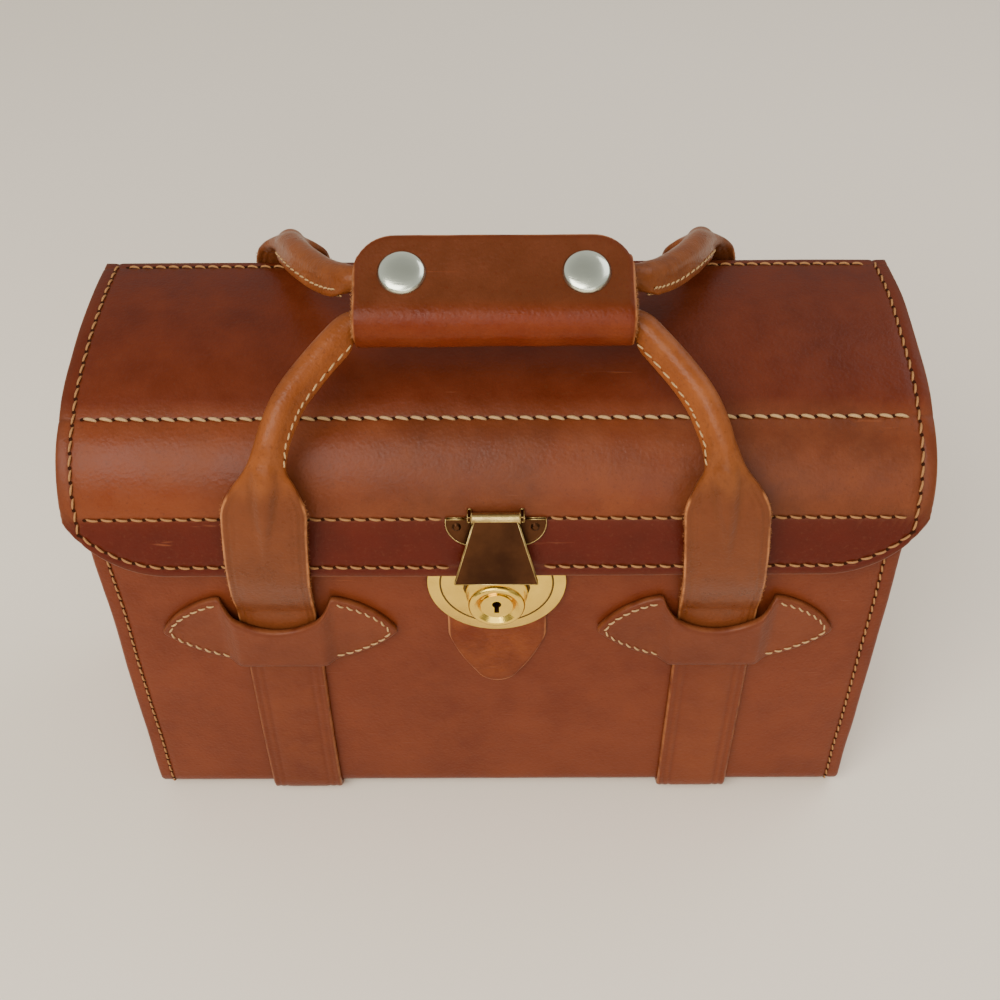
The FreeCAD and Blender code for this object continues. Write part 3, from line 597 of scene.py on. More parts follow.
def make_lid():
    w = LID_FRONT_W
    sheet = Sheet(-w, w, flap_edge, lambda x: LID.length, lid_place, LEATHER)
    sheet.side_grooves, sheet.low_grooves, sheet.high_grooves = [SIDE_SEAM], [LOW_SEAM], [BACK_SEAM]
    sheet.across = [LID_LOWER_SEAM, LID_UPPER_SEAM]
    sheet.tone = lid_tone_and_shade
    cover = sheet.build("lid_cover", "lid_leather", "lid")
    notch_flap(cover)
    threads = Threads()
    side = w - SIDE_SEAM
    pale = Threads()
    pale.row([(-side + 3, LID_UPPER_SEAM), (side - 3, LID_UPPER_SEAM)], lid_place, 5.2, 0.62, 0.5)
    threads.row([(-side + 3, LID_LOWER_SEAM), (-HASP_GAP, LID_LOWER_SEAM)], lid_place)
    threads.row([(HASP_GAP, LID_LOWER_SEAM), (side - 3, LID_LOWER_SEAM)], lid_place)
    for sign in (-1, 1):
        threads.row([(sign * side, flap_edge(side) + 4.0), (sign * side, LID.length - 3)], lid_place)
    low = [(x, flap_edge(x) + LOW_SEAM) for x in range(-int(side), -15, 2)]
    threads.row(low, lid_place)
    threads.row([(-x, s) for x, s in low], lid_place)
    back = LID.length - BACK_SEAM
    threads.row([(-side + 4, back), (side - 4, back)], lid_place)
    threads.finish("lid_stitches", "lid")
    pale.finish("lid_seam_stitches", "lid", "pale_thread")


def notch_flap(cover):
    """Opens the slot for the hasp's staple in the flap's lower edge."""
    bm = bmesh.new()
    bm.from_mesh(cover.data)
    inside = []
    for face in bm.faces:
        c = face.calc_center_median() / MM
        if abs(c.x) < 7 and c.z < 144 and c.y < -40:
            inside.append(face)
    bmesh.ops.delete(bm, geom=inside, context="FACES")
    close_border(bm)
    bmesh.ops.triangulate(bm, faces=[f for f in bm.faces if len(f.verts) > 4])
    bm.to_mesh(cover.data)
    bm.free()


def close_border(bm):
    bmesh.ops.holes_fill(bm, edges=[e for e in bm.edges if e.is_boundary], sides=0)


# ---- body ----
def folded_track(half_d, floor, bend, front_top, back_top):
    front = [(-half_d, front_top), (-half_d, floor + bend)]
    first = arc_points((-half_d + bend, floor + bend), bend, 180, 270, 10)
    second = arc_points((half_d - bend, floor + bend), bend, 270, 360, 10)
    return Track(front[:1] + first + second + [(half_d, back_top)], side=-1)


BODY = folded_track(BODY_HALF_D, BODY_FLOOR, 5.0, FRONT_RIM, BACK_RIM)


def body_place(x, s, depth):
    point = BODY.at(s, depth + 0.12 * wobble(x, s, 0, 45.0, 8.0))
    edge = fade((abs(x) - 115) / 25.0)
    wave = (0.55 * wobble(0, s, x, 26.0, 9.0) - 0.3) * edge
    return (x + wave * (1 if x > 0 else -1), point.x, point.y)


def make_body():
    w = BODY_HALF_W
    sheet = Sheet(-w, w, lambda x: 0.0, lambda x: BODY.length, body_place, LEATHER, 2.6)
    sheet.side_grooves = [BODY_SEAM]
    sheet.build("body_wrap", "body_leather", "case")
    threads = Threads()
    for sign in (-1, 1):
        x = sign * (w - BODY_SEAM)
        threads.row([(x, 4.0), (x, BODY.length - 4.0)], body_place, 4.2, 0.38, 0.3)
    threads.finish("body_stitches", "case")


# ---- belts, keepers, lock tab ----
BELT = folded_track(BODY_HALF_D + 3.0, 0.0, 8.0, STRAP_TOP, STRAP_TOP)


def make_belt(side, name):
    centre = side * STRAP_X

    def place(x, s, depth):
        drift = 0.7 * wobble(0, s, centre, 60.0, 4.0)
        point = BELT.at(s, depth)
        return (centre + x + drift, point.x, point.y)

    sheet = Sheet(-STRAP_HALF, STRAP_HALF, lambda x: 0.0, lambda x: BELT.length, place, 3.0, 3.0)
    sheet.side_grooves = [2.4, 5.0]
    sheet.groove_depth = 0.28
    sheet.build(name, "strap_leather", "case")


def through(a, b, c, x):
    """Height at x of the circle through three points."""
    (ax, ay), (bx, by), (cx, cy) = a, b, c
    d = 2 * (ax * (by - cy) + bx * (cy - ay) + cx * (ay - by))
    aa, bb, cc = ax * ax + ay * ay, bx * bx + by * by, cx * cx + cy * cy
    ux = (aa * (by - cy) + bb * (cy - ay) + cc * (ay - by)) / d
    uy = (aa * (cx - bx) + bb * (ax - cx) + cc * (bx - ax)) / d
    r = math.hypot(ax - ux, ay - uy)
    rise = math.sqrt(max(r * r - (x - ux) ** 2, 0.0))
    return uy + rise if by > uy else uy - rise


def keeper_top(x):
    x = abs(x)
    if x <= 20:
        return through((-20, 18), (0, 3.5), (20, 18), x)
    return through((20, 18), (33.4, 11.6), (KEEPER_HALF, 0), min(x, KEEPER_HALF))


def keeper_bottom(x):
    x = abs(x)
    if x <= 16.5:
        return -15.5
    return through((KEEPER_HALF, 0), (32, -9.4), (16.5, -15.5), min(x, KEEPER_HALF))


def keeper_raise(x, s):
    over_belt = 3.45 * fade((21.0 - abs(x)) / 6.0)
    mouth = 0.9 * fade((s - 4) / 12.0) * fade((24 - abs(x)) / 10.0)
    return over_belt + mouth


def make_keeper(side, name, back=False):
    turn = -1.0 if back else 1.0

    def place(x, s, depth):
        rise = keeper_raise(x, s) + 0.15 * wobble(x, s, side, 18.0, 1.0)
        y = -BODY_HALF_D - rise - (LEATHER - depth)
        return (side * STRAP_X + x, y * turn, KEEPER_Z + s)

    half = KEEPER_HALF - 0.4
    sheet = Sheet(-half, half, keeper_bottom, keeper_top, place, LEATHER, 1.5)
    sheet.build(name, "keeper_leather", "case")
    threads = Threads()
    for sign in (-1, 1):
        upper = [(sign * x, keeper_top(x) - 2.4) for x in (21.5, 24, 27, 30, 33, 36, 38.5)]
        upper.append((sign * 40.0, 0.2))
        lower = [(sign * x, keeper_bottom(x) + 2.2) for x in (38.0, 35, 31, 27, 23, 19.5)]
        threads.row(upper + lower, place, 3.6, 0.38, 0.42)
    threads.finish(f"{name}_stitches", "case", "pale_thread", "keeper_leather")


def tab_low(x):
    x = abs(x)
    if x <= 7.5:
        return through((-7.5, 77.5), (0, 72.5), (7.5, 77.5), x)
    return through((7.5, 77.5), (14.2, 89.4), (TAB_HALF, 100), min(x, TAB_HALF))


def make_lock_tab():
    def place(x, s, depth):
        return (x, -BODY_HALF_D - TAB_T + depth - 0.1 * wobble(x, s, 0, 9.0, 3.0), s)

    sheet = Sheet(-TAB_HALF, TAB_HALF, tab_low, lambda x: 138.0, place, TAB_T, 1.4, 0.7)
    sheet.build("lock_tab", "tab_leather", "case")


# ---- handles ----
def tilted(y, z):
    """Where a point of the level grip is once the grip is turned up at the back."""
    dy, dz = y - GRIP_FRONT_Y, z - GRIP_Z
    c, s = math.cos(GRIP_TILT), math.sin(GRIP_TILT)
    return (GRIP_FRONT_Y + dy * c - dz * s, GRIP_Z + dy * s + dz * c)


FRONT_ROLL = (GRIP_FRONT_Y, GRIP_Z)
BACK_ROLL = tilted(GRIP_BACK_Y, GRIP_Z)
FRONT_PATH = [
    (-79.0, -49.0, 103.0), (-79.0, -49.0, 109.0), (-79.0, -49.3, 114.0), (-78.9, -50.6, 118.0),
    (-78.6, -53.4, 125.0), (-77.8, -57.0, 137.0), (-76.8, -58.3, 152.0), (-75.8, -58.2, 164.0),
    (-75.0, -57.5, 171.5), (-74.2, -56.2, 179.0), (-73.4, -54.2, 186.0), (-71.6, -50.8, 193.8),
    (-68.5, -45.4, 200.6), (-65.3, -40.6, 205.0), (-59.4, -34.0, 210.2), (-51.8, -26.8, 215.6),
    (-45.5, FRONT_ROLL[0] - 0.2, FRONT_ROLL[1] - 0.2), (-36.0, *FRONT_ROLL),
]
BACK_PATH = [
    (-79.0, 49.0, 103.0), (-79.0, 49.0, 109.0), (-79.0, 49.3, 114.0), (-78.9, 50.6, 118.0),
    (-78.8, 52.2, 125.0), (-78.6, 53.4, 137.0), (-78.0, 54.4, 155.0), (-77.0, 55.2, 174.0),
    (-76.0, 55.3, 187.0), (-75.2, 53.9, 196.0), (-74.8, 51.4, 201.3), (-74.2, 46.0, 205.5),
    (-71.8, 36.0, 210.6), (-65.1, 20.0, 216.0), (-56.6, 5.0, 220.8), (-50.0, -3.5, 224.2),
    (-45.5, BACK_ROLL[0] + 0.2, BACK_ROLL[1] - 0.2), (-36.0, *BACK_ROLL),
]
# half width, half thickness, squareness, how far the sewn fin stands out and the radius of the roll that
# runs on between the wings, at each point of a path
FLAT = (STRAP_HALF, 1.5, 7.0, 0.0, 0.0)
ROUND = (ROLL_R, ROLL_R, 2.0, 1.0, 0.0)
BACK_ROUND = (BACK_ROLL_R, BACK_ROLL_R, 2.0, 1.0, 0.0)
HELD = (ROLL_R, ROLL_R, 2.0, 0.0, 0.0)
FRONT_FORM = [FLAT] * 6 + [
    (STRAP_HALF, 1.5, 7.0, 0.0, 1.4), (STRAP_HALF, 1.5, 6.5, 0.0, 2.6), (13.6, 1.6, 5.0, 0.0, 3.5),
    (10.4, 1.8, 3.4, 0.1, 4.1), (6.1, 2.8, 2.3, 0.4, ROLL_R),
] + [ROUND] * 5 + [HELD] * 2
BACK_FORM = [FLAT] * 7 + [
    (STRAP_HALF, 1.5, 7.0, 0.0, 1.4), (STRAP_HALF, 1.5, 6.0, 0.0, 2.6), (13.2, 1.7, 4.0, 0.0, 3.5),
    (10.0, 2.3, 2.6, 0.1, 4.3), (6.4, 3.6, 2.2, 0.6, 4.6),
] + [BACK_ROUND] * 4 + [HELD] * 2


def spline(p, q, r, v, t):
    """The place t of the way from q to r on the Catmull-Rom curve through all four."""
    curve = 2 * q + (r - p) * t + (2 * p - 5 * q + 4 * r - v) * t * t + (3 * q - p - 3 * r + v) * t ** 3
    return curve / 2


def smooth_path(points, steps=7):
    """A smooth curve through the points, and each sample's place among them."""
    result = []
    for i in range(len(points) - 1):
        near = [points[max(i - 1, 0)], points[i], points[i + 1], points[min(i + 2, len(points) - 1)]]
        for k in range(steps):
            result.append((spline(*near, k / steps), i + k / steps))
    return result + [(points[-1], len(points) - 1.0)]


def blend_form(forms, place):
    """The form at a place between the listed ones, on a smooth curve kept between its two neighbours."""
    index = min(int(place), len(forms) - 2)
    before, after = forms[max(index - 1, 0)], forms[min(index + 2, len(forms) - 1)]
    blended = []
    for p, q, r, v in zip(before, forms[index], forms[index + 1], after):
        blended.append(min(max(spline(p, q, r, v, place - index), min(q, r)), max(q, r)))
    return blended


class Handle:
    def __init__(self, path, form, loop_centre):
        half = [Vector(p) for p in path]
        middle = Vector((0.0, half[-1].y, half[-1].z))
        points = half + [middle] + [Vector((-p.x, p.y, p.z)) for p in reversed(half)]
        forms = form + [form[-1]] + form[::-1]
        self.samples = smooth_path(points)
        self.forms = [blend_form(forms, place) for _, place in self.samples]
        self.loop_centre = loop_centre
        self.frames = self.make_frames()

    def make_frames(self):
        frames, across = [], Vector((1, 0, 0))
        count = len(self.samples)
        for i, (centre, _) in enumerate(self.samples):
            ahead = self.samples[min(i + 1, count - 1)][0] - self.samples[max(i - 1, 0)][0]
            ahead.normalize()
            across = (across - ahead * across.dot(ahead)).normalized()
            inward = self.seam_side(centre)
            inward = (inward - ahead * inward.dot(ahead)).normalized()
            frames.append((centre, across, ahead.cross(across), inward))
        return frames

    def seam_side(self, centre):
        """Which way the sewn fin faces: into the loop, or down and outwards when there is no loop centre."""
        if self.loop_centre is None:
            return Vector((math.copysign(0.62, centre.x), -0.5, -0.6))
        return Vector(self.loop_centre) - centre

    def outline(self, index, count=96):
        centre, across, up, inward = self.frames[index]
        half_w, half_t, square, fin, roll = self.forms[index]
        ring = []
        for k in range(count):
            angle = math.tau * k / count
            c, s = math.cos(angle), math.sin(angle)
            a = half_w * c
            b = math.copysign(half_t * max(0.0, 1 - abs(c) ** square) ** (1 / square), s)
            if abs(a) < roll:
                lift = (abs(b) ** 3 + (roll * roll - a * a) ** 1.5) ** (1 / 3)
                b = math.copysign(lift, b)
            spot = across * a + up * b
            if fin > 0:
                toward = spot.normalized().dot(inward)
                spot += inward * (FIN_OUT * fin * max(0.0, toward) ** 7)
                spot -= (spot - inward * spot.dot(inward)) * (0.12 * fin * max(0.0, toward) ** 4)
            crease = self.crease(a, b, half_w, half_t, square)
            wear = 0.12 * wobble(centre.x, centre.y, centre.z + angle * 8, 9.0, 6.0)
            ring.append((centre + spot + spot.normalized() * wear - up * crease, abs(a)))
        return ring

    def crease(self, a, b, half_w, half_t, square):
        if square < 3.5:
            return 0.0
        gap = half_w - abs(a)
        depth = 0.32 * math.exp(-(((gap - 2.4) / 0.55) ** 2)) + 0.24 * math.exp(-(((gap - 4.4) / 0.5) ** 2))
        return math.copysign(depth, b) if abs(b) > half_t * 0.6 else 0.0

    def mesh(self):
        bm = bmesh.new()
        rim, seam, deep_and_shade = wear_and_shade_layers(bm)
        rings = []
        for index in range(len(self.samples)):
            ring = []
            half_w, _, square, _, roll = self.forms[index]
            flat = fade((square - 2.4) / 2.0)
            ridge = fade((half_w - 5.5) / 4.0) * fade((roll - 2.2) / 1.3)
            for spot, a in self.outline(index):
                vertex = bm.verts.new(spot * MM)
                vertex[rim] = flat * fade(1 - (half_w - a) / 2.6)
                # painted shade along the crease line and where the wings curl into the roll
                fold_shade = 0.9 * ridge * math.exp(-(((a - roll - 0.5) / 0.9) ** 2))
                vertex[seam] = 0.6 * flat * math.exp(-(((half_w - 2.4 - a) / 0.8) ** 2)) + fold_shade
                vertex[deep_and_shade] = 0.9 * fade((half_w - 8.0) / 6.0)
                ring.append(vertex)
            rings.append(ring)
        join_rings(bm, rings)
        bmesh.ops.recalc_face_normals(bm, faces=bm.faces)
        return bm

    def seam_points(self, lift):
        """Where the stitches of the sewn fin go on one of its faces, from the shoulder to the grip."""
        runs = {-1: [], 1: []}
        for index, (centre, across, up, inward) in enumerate(self.frames):
            fin = self.forms[index][3]
            if fin > 0.45 and abs(centre.x) > GRIP_HALF + 0.5:
                ahead = (self.frames[index + 1][0] - self.frames[index - 1][0]).normalized()
                side = ahead.cross(inward).normalized()
                if side.z * lift < 0:
                    side = -side
                sign = 1 if centre.x > 0 else -1
                size = min(self.forms[index][0] / ROLL_R, 1.12)
                runs[sign].append((centre + inward * (5.1 * size), side * (1.68 * size)))
        return runs


def stitch_line(threads, run, pitch=3.4, radius=0.35):
    centres = [p for p, _ in run]
    total = sum((b - a).length for a, b in zip(centres, centres[1:]))
    count = max(2, round(total / pitch))

    def place(x, s, depth):
        t = min(max(x / total, 0.0), 1.0) * (len(run) - 1)
        index = min(int(t), len(run) - 2)
        k = t - index
        spot = run[index][0].lerp(run[index + 1][0], k)
        out = run[index][1].lerp(run[index + 1][1], k)
        along_run = (run[index + 1][0] - run[index][0]).normalized()
        sideways = along_run.cross(out).normalized()
        return spot + out.normalized() * (out.length - depth) + sideways * s

    threads.row([(total * i / count, 0.0) for i in range(count + 1)], place, pitch, radius, 0.22)


def make_handle(body, path, form, loop_centre=None):
    handle = Handle(path, form, loop_centre)
    obj = finish_object(f"{body}_strap", handle.mesh(), "handle_leather", None, [f"{body}_leather"])
    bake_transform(obj)
    threads = Threads()
    threads.hole_size = 0.5
    for lift in (1, -1):
        for run in handle.seam_points(lift).values():
            if len(run) > 3:
                stitch_line(threads, run)
    threads.finish(f"{body}_stitches", body, "pale_thread", "handle_leather")
    fray_handle(body, handle)


def fibre(bm, rng, root, out, along_edge):
    """One loose fibre of a raw cut edge."""
    length = rng.uniform(0.4, 1.5)
    lean = out + along_edge * rng.uniform(-0.9, 0.9)
    tip = root + lean * length + along_edge * rng.uniform(-0.4, 0.4)
    skin_tube(bm, [root, root.lerp(tip, 0.5) + out * 0.08, tip], [0.10, 0.08, 0.02], 3)


def fray_handle(body, handle):
    """Loose fibres along both edges of the strap, above the keeper."""
    rng = random.Random(11)
    bm = bmesh.new()
    for index in range(len(handle.frames) - 1):
        centre, across, up, _ = handle.frames[index]
        half_w, _, square, _, _ = handle.forms[index]
        if square < 4.5 or centre.z < 121:
            continue
        step = handle.frames[index + 1][0] - centre
        for sign in (-1, 1):
            for _ in range(4):
                root = centre + across * (sign * (half_w - 0.25)) + up * rng.uniform(-1.1, 1.1)
                root += step * rng.random()
                out = across * (sign * rng.uniform(0.3, 0.8)) + up * rng.uniform(-0.5, 0.5)
                fibre(bm, rng, root, out, step.normalized())
    finish_object(f"{body}_fray", bm, "fray", body)


# ---- grip ----
def grip_wrap_track():
    top, low = GRIP_Z + GRIP_OUT, GRIP_Z - GRIP_OUT
    round_back = arc_points((GRIP_BACK_Y, GRIP_Z), GRIP_OUT, 90, -90, 24)
    points = [(GRIP_INNER_END, top)] + round_back + [(GRIP_FRONT_Y, low)]
    return Track([tilted(*p) for p in points])


def grip_flap_track():
    low = GRIP_Z - GRIP_OUT
    front = GRIP_FRONT_Y - GRIP_OUT
    under = arc_points((GRIP_FRONT_Y, GRIP_Z), GRIP_OUT, 270, 180, 14)
    over = arc_points((front + 8.0, FLAP_HIGH - 8.0), 8.0, 180, 90, 14)
    points = [(GRIP_FRONT_Y - 0.3, low)] + under[1:] + over + [(GRIP_FLAP_BACK, FLAP_HIGH)]
    return Track([tilted(*p) for p in points])


def corner_high(length, radius, half):
    def high(x):
        over = abs(x) - (half - radius)
        if over <= 0:
            return length
        return length - radius + math.sqrt(max(radius ** 2 - over ** 2, 0.0))

    return high


def make_grip():
    wrap = grip_wrap_track()

    def wrap_place(x, s, depth):
        point = wrap.at(s, depth)
        return (x, point.x, point.y)

    sheet = Sheet(-GRIP_HALF, GRIP_HALF, lambda x: 0.0, lambda x: wrap.length, wrap_place, GRIP_T, 1.6)
    sheet.build("grip_wrap", "grip_leather", "back_handle")
    flap = grip_flap_track()

    def flap_place(x, s, depth):
        bulge = 0.25 * wobble(x, s, 0, 14.0, 11.0)
        lift = 0.9 * fade((s - flap.length + 16) / 16.0)
        point = flap.at(s, depth + bulge - lift)
        return (x * (1 + 0.006 * wobble(0, s, x, 12.0, 7.0)), point.x, point.y)

    high = corner_high(flap.length, 13.0, GRIP_HALF)
    sheet = Sheet(-GRIP_HALF, GRIP_HALF, lambda x: 0.0, high, flap_place, GRIP_T, 1.6)
    sheet.tone = lambda x, s: fade((s - flap.length + 30) / 8.0)
    cover = sheet.build("grip_flap", "grip_leather", None)
    fray_grip(flap_place, 14.0, flap.length - 14.0)
    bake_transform(cover)


def fray_grip(place, start, end):
    """Loose fibres along both cut ends of the flap."""
    rng = random.Random(5)
    bm = bmesh.new()
    for sign in (-1, 1):
        for _ in range(150):
            s = rng.uniform(start, end)
            root = Vector(place(sign * (GRIP_HALF - 0.2), s, rng.uniform(0.3, 1.9)))
            ahead = Vector(place(sign * GRIP_HALF, s + 0.5, 1.0)) - Vector(place(sign * GRIP_HALF, s, 1.0))
            out = Vector((sign * rng.uniform(0.3, 0.8), 0, rng.uniform(-0.3, 0.3)))
            fibre(bm, rng, root, out, ahead.normalized())
    finish_object("grip_flap_fray", bm, "fray", "grip_flap")


def make_snaps():
    base, r, rim = -0.2, SNAP_R, SNAP_R - 0.35
    crown = base + 0.95
    profile = [(1.7, -2.1), (1.7, base), (r - 0.4, base), (r, base + 0.25), (r, base + 0.6), (rim, crown)]
    for i in range(1, 12):
        angle = math.pi / 2 * i / 12
        profile.append((rim * math.cos(angle), crown + SNAP_DOME * math.sin(angle)))
    profile.append((0.0, crown + SNAP_DOME))
    up = (0, -math.sin(GRIP_TILT), math.cos(GRIP_TILT))
    for sign, side in ((-1, "left"), (1, "right")):
        nodes = ["snap_caps"] if sign < 0 else []
        spot = (sign * SNAP_X, *tilted(SNAP_Y, FLAP_HIGH))
        lathe(f"snap_cap_{side}", profile, spot, up, "nickel", "grip_flap", 64, nodes)


# ---- lock ----
def make_lock():
    """The plate, the rim of the boss and painted shade in the grooves round them."""
    spot, front = (0, LOCK_BACK, LOCK_PLATE_Z), (0, -1, 0)
    profile = [(0, 0), (24.2, 0), (24.5, 0.25), (24.4, 0.55), (24.1, 0.75), (20.0, 0.8), (19.4, 0.95)]
    profile += [(19.0, 1.3), (18.6, BOSS_OUT), (12.2, BOSS_OUT), (11.8, 1.25), (0, 1.2)]
    plate = lathe("lock_plate_brass", profile, spot, front, "bright_brass", "case", 128, ["lock_plate"])
    cut_plate_top(plate.data)
    # dark rings in the grooves: painted shade between the boss and the plate, and in the plate's step
    profile = [(10.8, 1.2), (10.8, 1.3), (11.9, 1.3), (11.9, 1.2)]
    lathe("boss_groove_shade", profile, (0, LOCK_BACK, LOCK_Z), front, "groove_shade", "case", 96)
    profile = [(19.5, 0.8), (19.5, 0.95), (20.15, 0.87), (20.15, 0.7)]
    groove = lathe("plate_groove_shade", profile, spot, front, "groove_shade", "case", 128)
    cut_plate_top(groove.data, False)
    profile = [(10.85, 0), (10.9, 1.1), (10.6, 1.7), (10.15, 2.2), (10.0, 3.0), (10.0, 6.0), (9.8, 7.1),
               (9.2, 7.8), (8.5, 8.0), (7.8, 7.8), (7.2, 7.2), (6.7, 6.7), (6.2, 6.5), (5.75, 6.4),
               (5.7, 5.6)]
    lathe("lock_boss_ring", profile, (0, LOCK_BACK - BOSS_OUT, LOCK_Z), front, "bright_brass", "case", 96)
    blacken_keyhole()


def cut_plate_top(mesh, close=True):
    """Take off what would stand above the straight top of the plate."""
    bm = bmesh.new()
    bm.from_mesh(mesh)
    bmesh.ops.bisect_plane(bm, geom=bm.verts[:] + bm.edges[:] + bm.faces[:], dist=1e-6,
                           plane_co=(0, 0, LOCK_PLATE_TOP * MM), plane_no=(0, 0, 1), clear_outer=True)
    if close:
        close_border(bm)
    bm.to_mesh(mesh)
    bm.free()


def blacken_keyhole():
    """Painted shade inside the keyhole."""
    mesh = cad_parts["lock_plug"].data
    mesh.materials.append(MATERIALS["hole"])
    front = min(v.co.y for v in mesh.vertices)
    for face in mesh.polygons:
        c = face.center
        if math.hypot(c.x, c.z - LOCK_Z * MM) < 3.8 * MM and c.y > front + 0.3 * MM:
            face.material_index = 1


# ---- hinge leather ----
def make_hinge():
    def place(x, s, depth):
        return (x, BODY_HALF_D + 1.4 - depth, s)

    half = BODY_HALF_W - 2.0
    sheet = Sheet(-half, half, lambda x: HINGE_Z - 12, lambda x: HINGE_Z + 12, place, 1.4, 2.0, 0.6)
    sheet.low_grooves = sheet.high_grooves = [3.4]
    flap = finish_object("hinge_leather_strip", sheet.mesh(), "hinge_leather", None, ["hinge_leather"])
    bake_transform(flap)
    for body, z in (("case", HINGE_Z - 8.6), ("lid", HINGE_Z + 8.6)):
        threads = Threads()
        threads.row([(-half + 4, z), (half - 4, z)], place)
        threads.finish(f"hinge_stitches_{body}", body)


# ---- solids shown as they are ----
AS_BUILT = {
    "lining": ["body_lining", "lid_lining"],
    "board": ["lid_front_stiffener", "lid_top_board"],
    "bright_brass": ["lock_boss", "lock_plug"],
    "steel": ["lock_prongs", "lock_backplate"],
    "nickel": ["snap_studs", "snap_posts", "snap_sockets"],
    "aged_brass": ["hasp_pin"],
}
# body, look, width of the chamfer and its look
EASED = {f"body_end_{side}": ("case", "body_leather", 0.6, "body_leather") for side in ("left", "right")}
LID_PANELS = ("lid_end_left", "lid_end_right", "lid_back_panel")
EASED |= {name: ("lid", "lid_leather", 0.6, "lid_leather") for name in LID_PANELS}
EASED |= {
    "hasp_hinge_plate": ("lid", "aged_brass", 0.22, "rubbed_brass"),
    "hasp_rivets": ("lid", "aged_brass", 0.1, "rubbed_brass"),
    "hasp_plate": ("hasp", "aged_brass", 0.3, "rubbed_brass"),
    "hasp_staple": ("hasp", "aged_brass", 0.2, "rubbed_brass"),
}


def dress_solids():
    for look, names in AS_BUILT.items():
        for name in names:
            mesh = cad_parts[name].data
            mesh.materials.clear()
            mesh.materials.append(MATERIALS[look])


def round_lugs(bm):
    """Draw the lugs in round the pin, to less than the radius of the barrel between them."""
    for vertex in bm.verts:
        out = Vector((0, vertex.co.y - HASP_PIN[0] * MM, vertex.co.z - HASP_PIN[1] * MM))
        if out.y < 0.9 * MM and LUG_R * MM < out.length < 3.2 * MM:
            vertex.co -= out * (1 - LUG_R * MM / out.length)


def brighten_barrel(bm):
    """Give the barrel the chamfers' look."""
    for face in bm.faces:
        if face.calc_center_median().z > (HASP_PIN[1] - 1.7) * MM:
            face.material_index = 1


def rub_edges(name, body, edges):
    """A thin line of bare brass along sharp edges."""
    bm = bmesh.new()
    for a, b in edges:
        if (b - a).length > 0.1:
            skin_tube(bm, [a, b], [0.2, 0.2], 5)
    finish_object(f"{name}_bare_edges", bm, "rubbed_brass", body)


def ease_solids():
    """Rebuild solids with a narrow chamfer along their sharp edges."""
    for name, (body, look, width, chamfer_look) in EASED.items():
        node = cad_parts[name]
        bm = bmesh.new()
        bm.from_mesh(node.data)
        bm.transform(node.matrix_world)
        bmesh.ops.remove_doubles(bm, verts=bm.verts, dist=2e-6)
        bmesh.ops.dissolve_limit(bm, angle_limit=math.radians(0.5), verts=bm.verts, edges=bm.edges)
        for face in bm.faces:
            face.material_index = 0
        if name == "hasp_hinge_plate":
            round_lugs(bm)
        if name == "hasp_plate":
            brighten_barrel(bm)
        sharp = [e for e in bm.edges if len(e.link_faces) == 2 and e.calc_face_angle(0.0) > math.radians(38)]
        if name in ("hasp_plate", "hasp_hinge_plate"):
            rub_edges(name, body, [(e.verts[0].co / MM, e.verts[1].co / MM) for e in sharp])
        bmesh.ops.bevel(bm, geom=sharp, offset=width * MM, segments=1, profile=0.5, affect="EDGES",
                        clamp_overlap=True, material=1)
        obj = finish_object(f"{name}_eased", bm, look, body, [name])
        obj.data.materials.append(MATERIALS[chamfer_look])
        if "custom_normal" in obj.data.attributes:
            obj.data.attributes.remove(obj.data.attributes["custom_normal"])
        obj.data.set_sharp_from_angle(angle=math.radians(30))


# ---- stage ----
def make_stage():
    make_floor()
    world = bpy.data.worlds.new("room")
    world.use_nodes = True
    world.node_tree.nodes["Background"].inputs["Strength"].default_value = 0.62
    sky_by_height(world.node_tree)
    bpy.context.scene.world = world
    lamp("key", (-0.55, -0.95, 1.15), 1.0, 23.0, (1.0, 0.955, 0.885))
    lamp("window", (0.9, 0.35, 1.1), 0.9, 5.0, (0.95, 0.96, 1.0))
    lamp("front", (0.25, -1.3, 0.55), 0.8, 5.5, (1.0, 0.95, 0.88))


def make_floor():
    bm = bmesh.new()
    bmesh.ops.create_grid(bm, x_segments=2, y_segments=2, size=4.0)
    mesh = bpy.data.meshes.new("floor")
    bm.to_mesh(mesh)
    bm.free()
    n = Nodes("floor")
    tone = n.mix(n.ramp(n.noise(2.2, 2.0), 0.3, 0.7), (0.93, 0.83, 0.685), (0.95, 0.855, 0.715))
    mesh.materials.append(n.finish(Base_Color=tone, Roughness=0.75))
    floor = linked("floor", mesh)


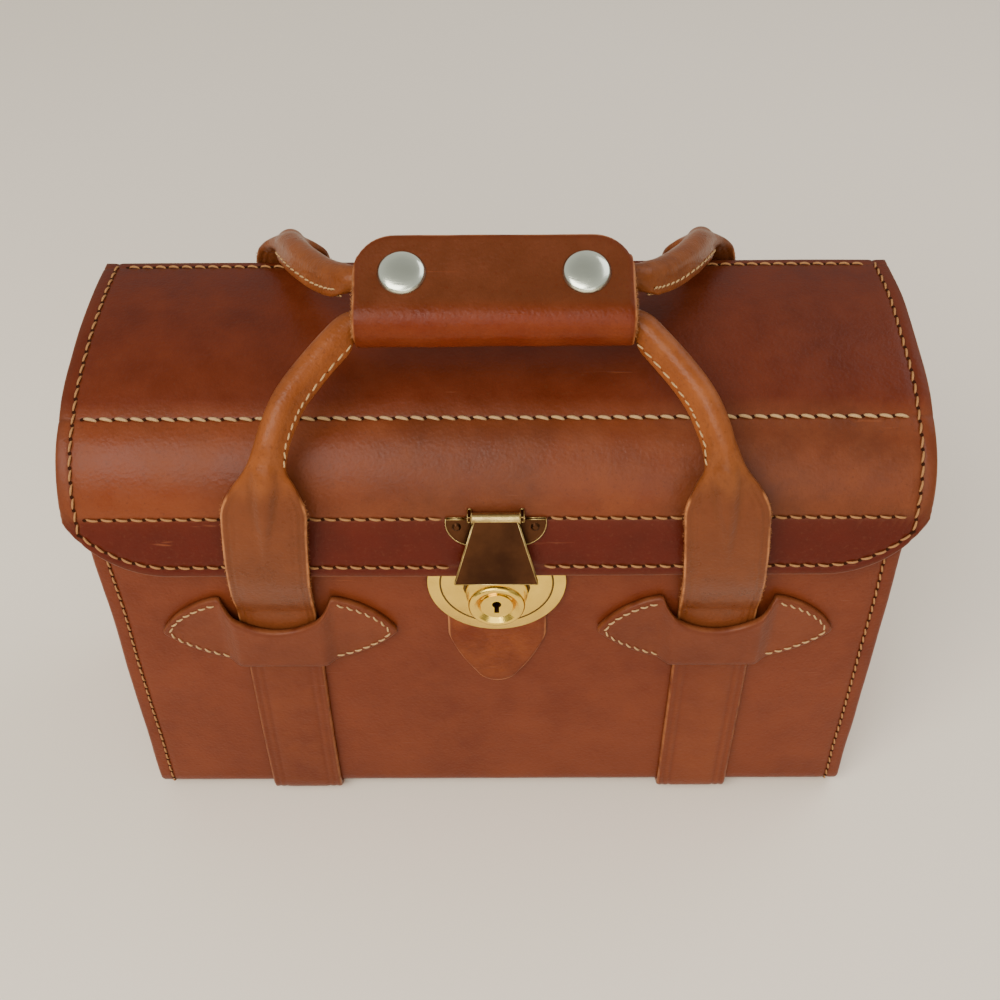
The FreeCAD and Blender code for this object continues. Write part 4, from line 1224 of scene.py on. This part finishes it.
def sky_by_height(tree):
    """Bright walls half way up, with a darker ceiling and horizon for the metal to reflect."""
    height = tree.nodes.new("ShaderNodeSeparateXYZ")
    tree.links.new(tree.nodes.new("ShaderNodeTexCoord").outputs["Generated"], height.inputs[0])
    ramp = tree.nodes.new("ShaderNodeValToRGB")
    tree.links.new(height.outputs["Z"], ramp.inputs["Fac"])
    levels = [(0.0, 0.45), (0.25, 0.60), (0.5, 1.18), (0.85, 1.0), (1.0, 0.66)]
    for _ in levels[2:]:
        ramp.color_ramp.elements.new(0.5)
    for element, (place, level) in zip(ramp.color_ramp.elements, levels):
        element.position = place
        element.color = (level, level * 0.98, level * 0.945, 1.0)
    tree.links.new(ramp.outputs["Color"], tree.nodes["Background"].inputs["Color"])


def lamp(name, spot, size, power, colour):
    """An area light that faces the middle of the case."""
    light = bpy.data.lights.new(name, "AREA")
    light.size = size
    light.energy = power
    light.color = colour
    obj = linked(name, light)
    obj.location = spot
    obj.rotation_euler = (Vector((0, 0, 0.1)) - Vector(spot)).to_track_quat("-Z", "Y").to_euler()


def make_camera():
    data = bpy.data.cameras.new("camera")
    data.lens = 48.0
    data.sensor_width = 36.0
    data.clip_start = 0.01
    camera = linked("camera", data)
    turn = Matrix.Rotation(math.radians(0.37), 4, "Z") @ Matrix.Rotation(math.radians(90 - 43.6), 4, "X")
    turn = turn @ Matrix.Rotation(math.radians(-0.53), 4, "Z")
    camera.matrix_world = Matrix.Translation((0.0035, -0.3682, 0.471)) @ turn
    bpy.context.scene.camera = camera


make_lid()
make_body()
for side_sign, side_name in ((-1, "left"), (1, "right")):
    make_belt(side_sign, f"belt_{side_name}")
    make_keeper(side_sign, f"keeper_front_{side_name}")
    make_keeper(side_sign, f"keeper_back_{side_name}", back=True)
make_lock_tab()
make_handle("front_handle", FRONT_PATH, FRONT_FORM, (0, -34, 176))
make_handle("back_handle", BACK_PATH, BACK_FORM)
make_grip()
make_snaps()
make_hinge()
dress_solids()
ease_solids()
make_lock()
make_stage()
make_camera()
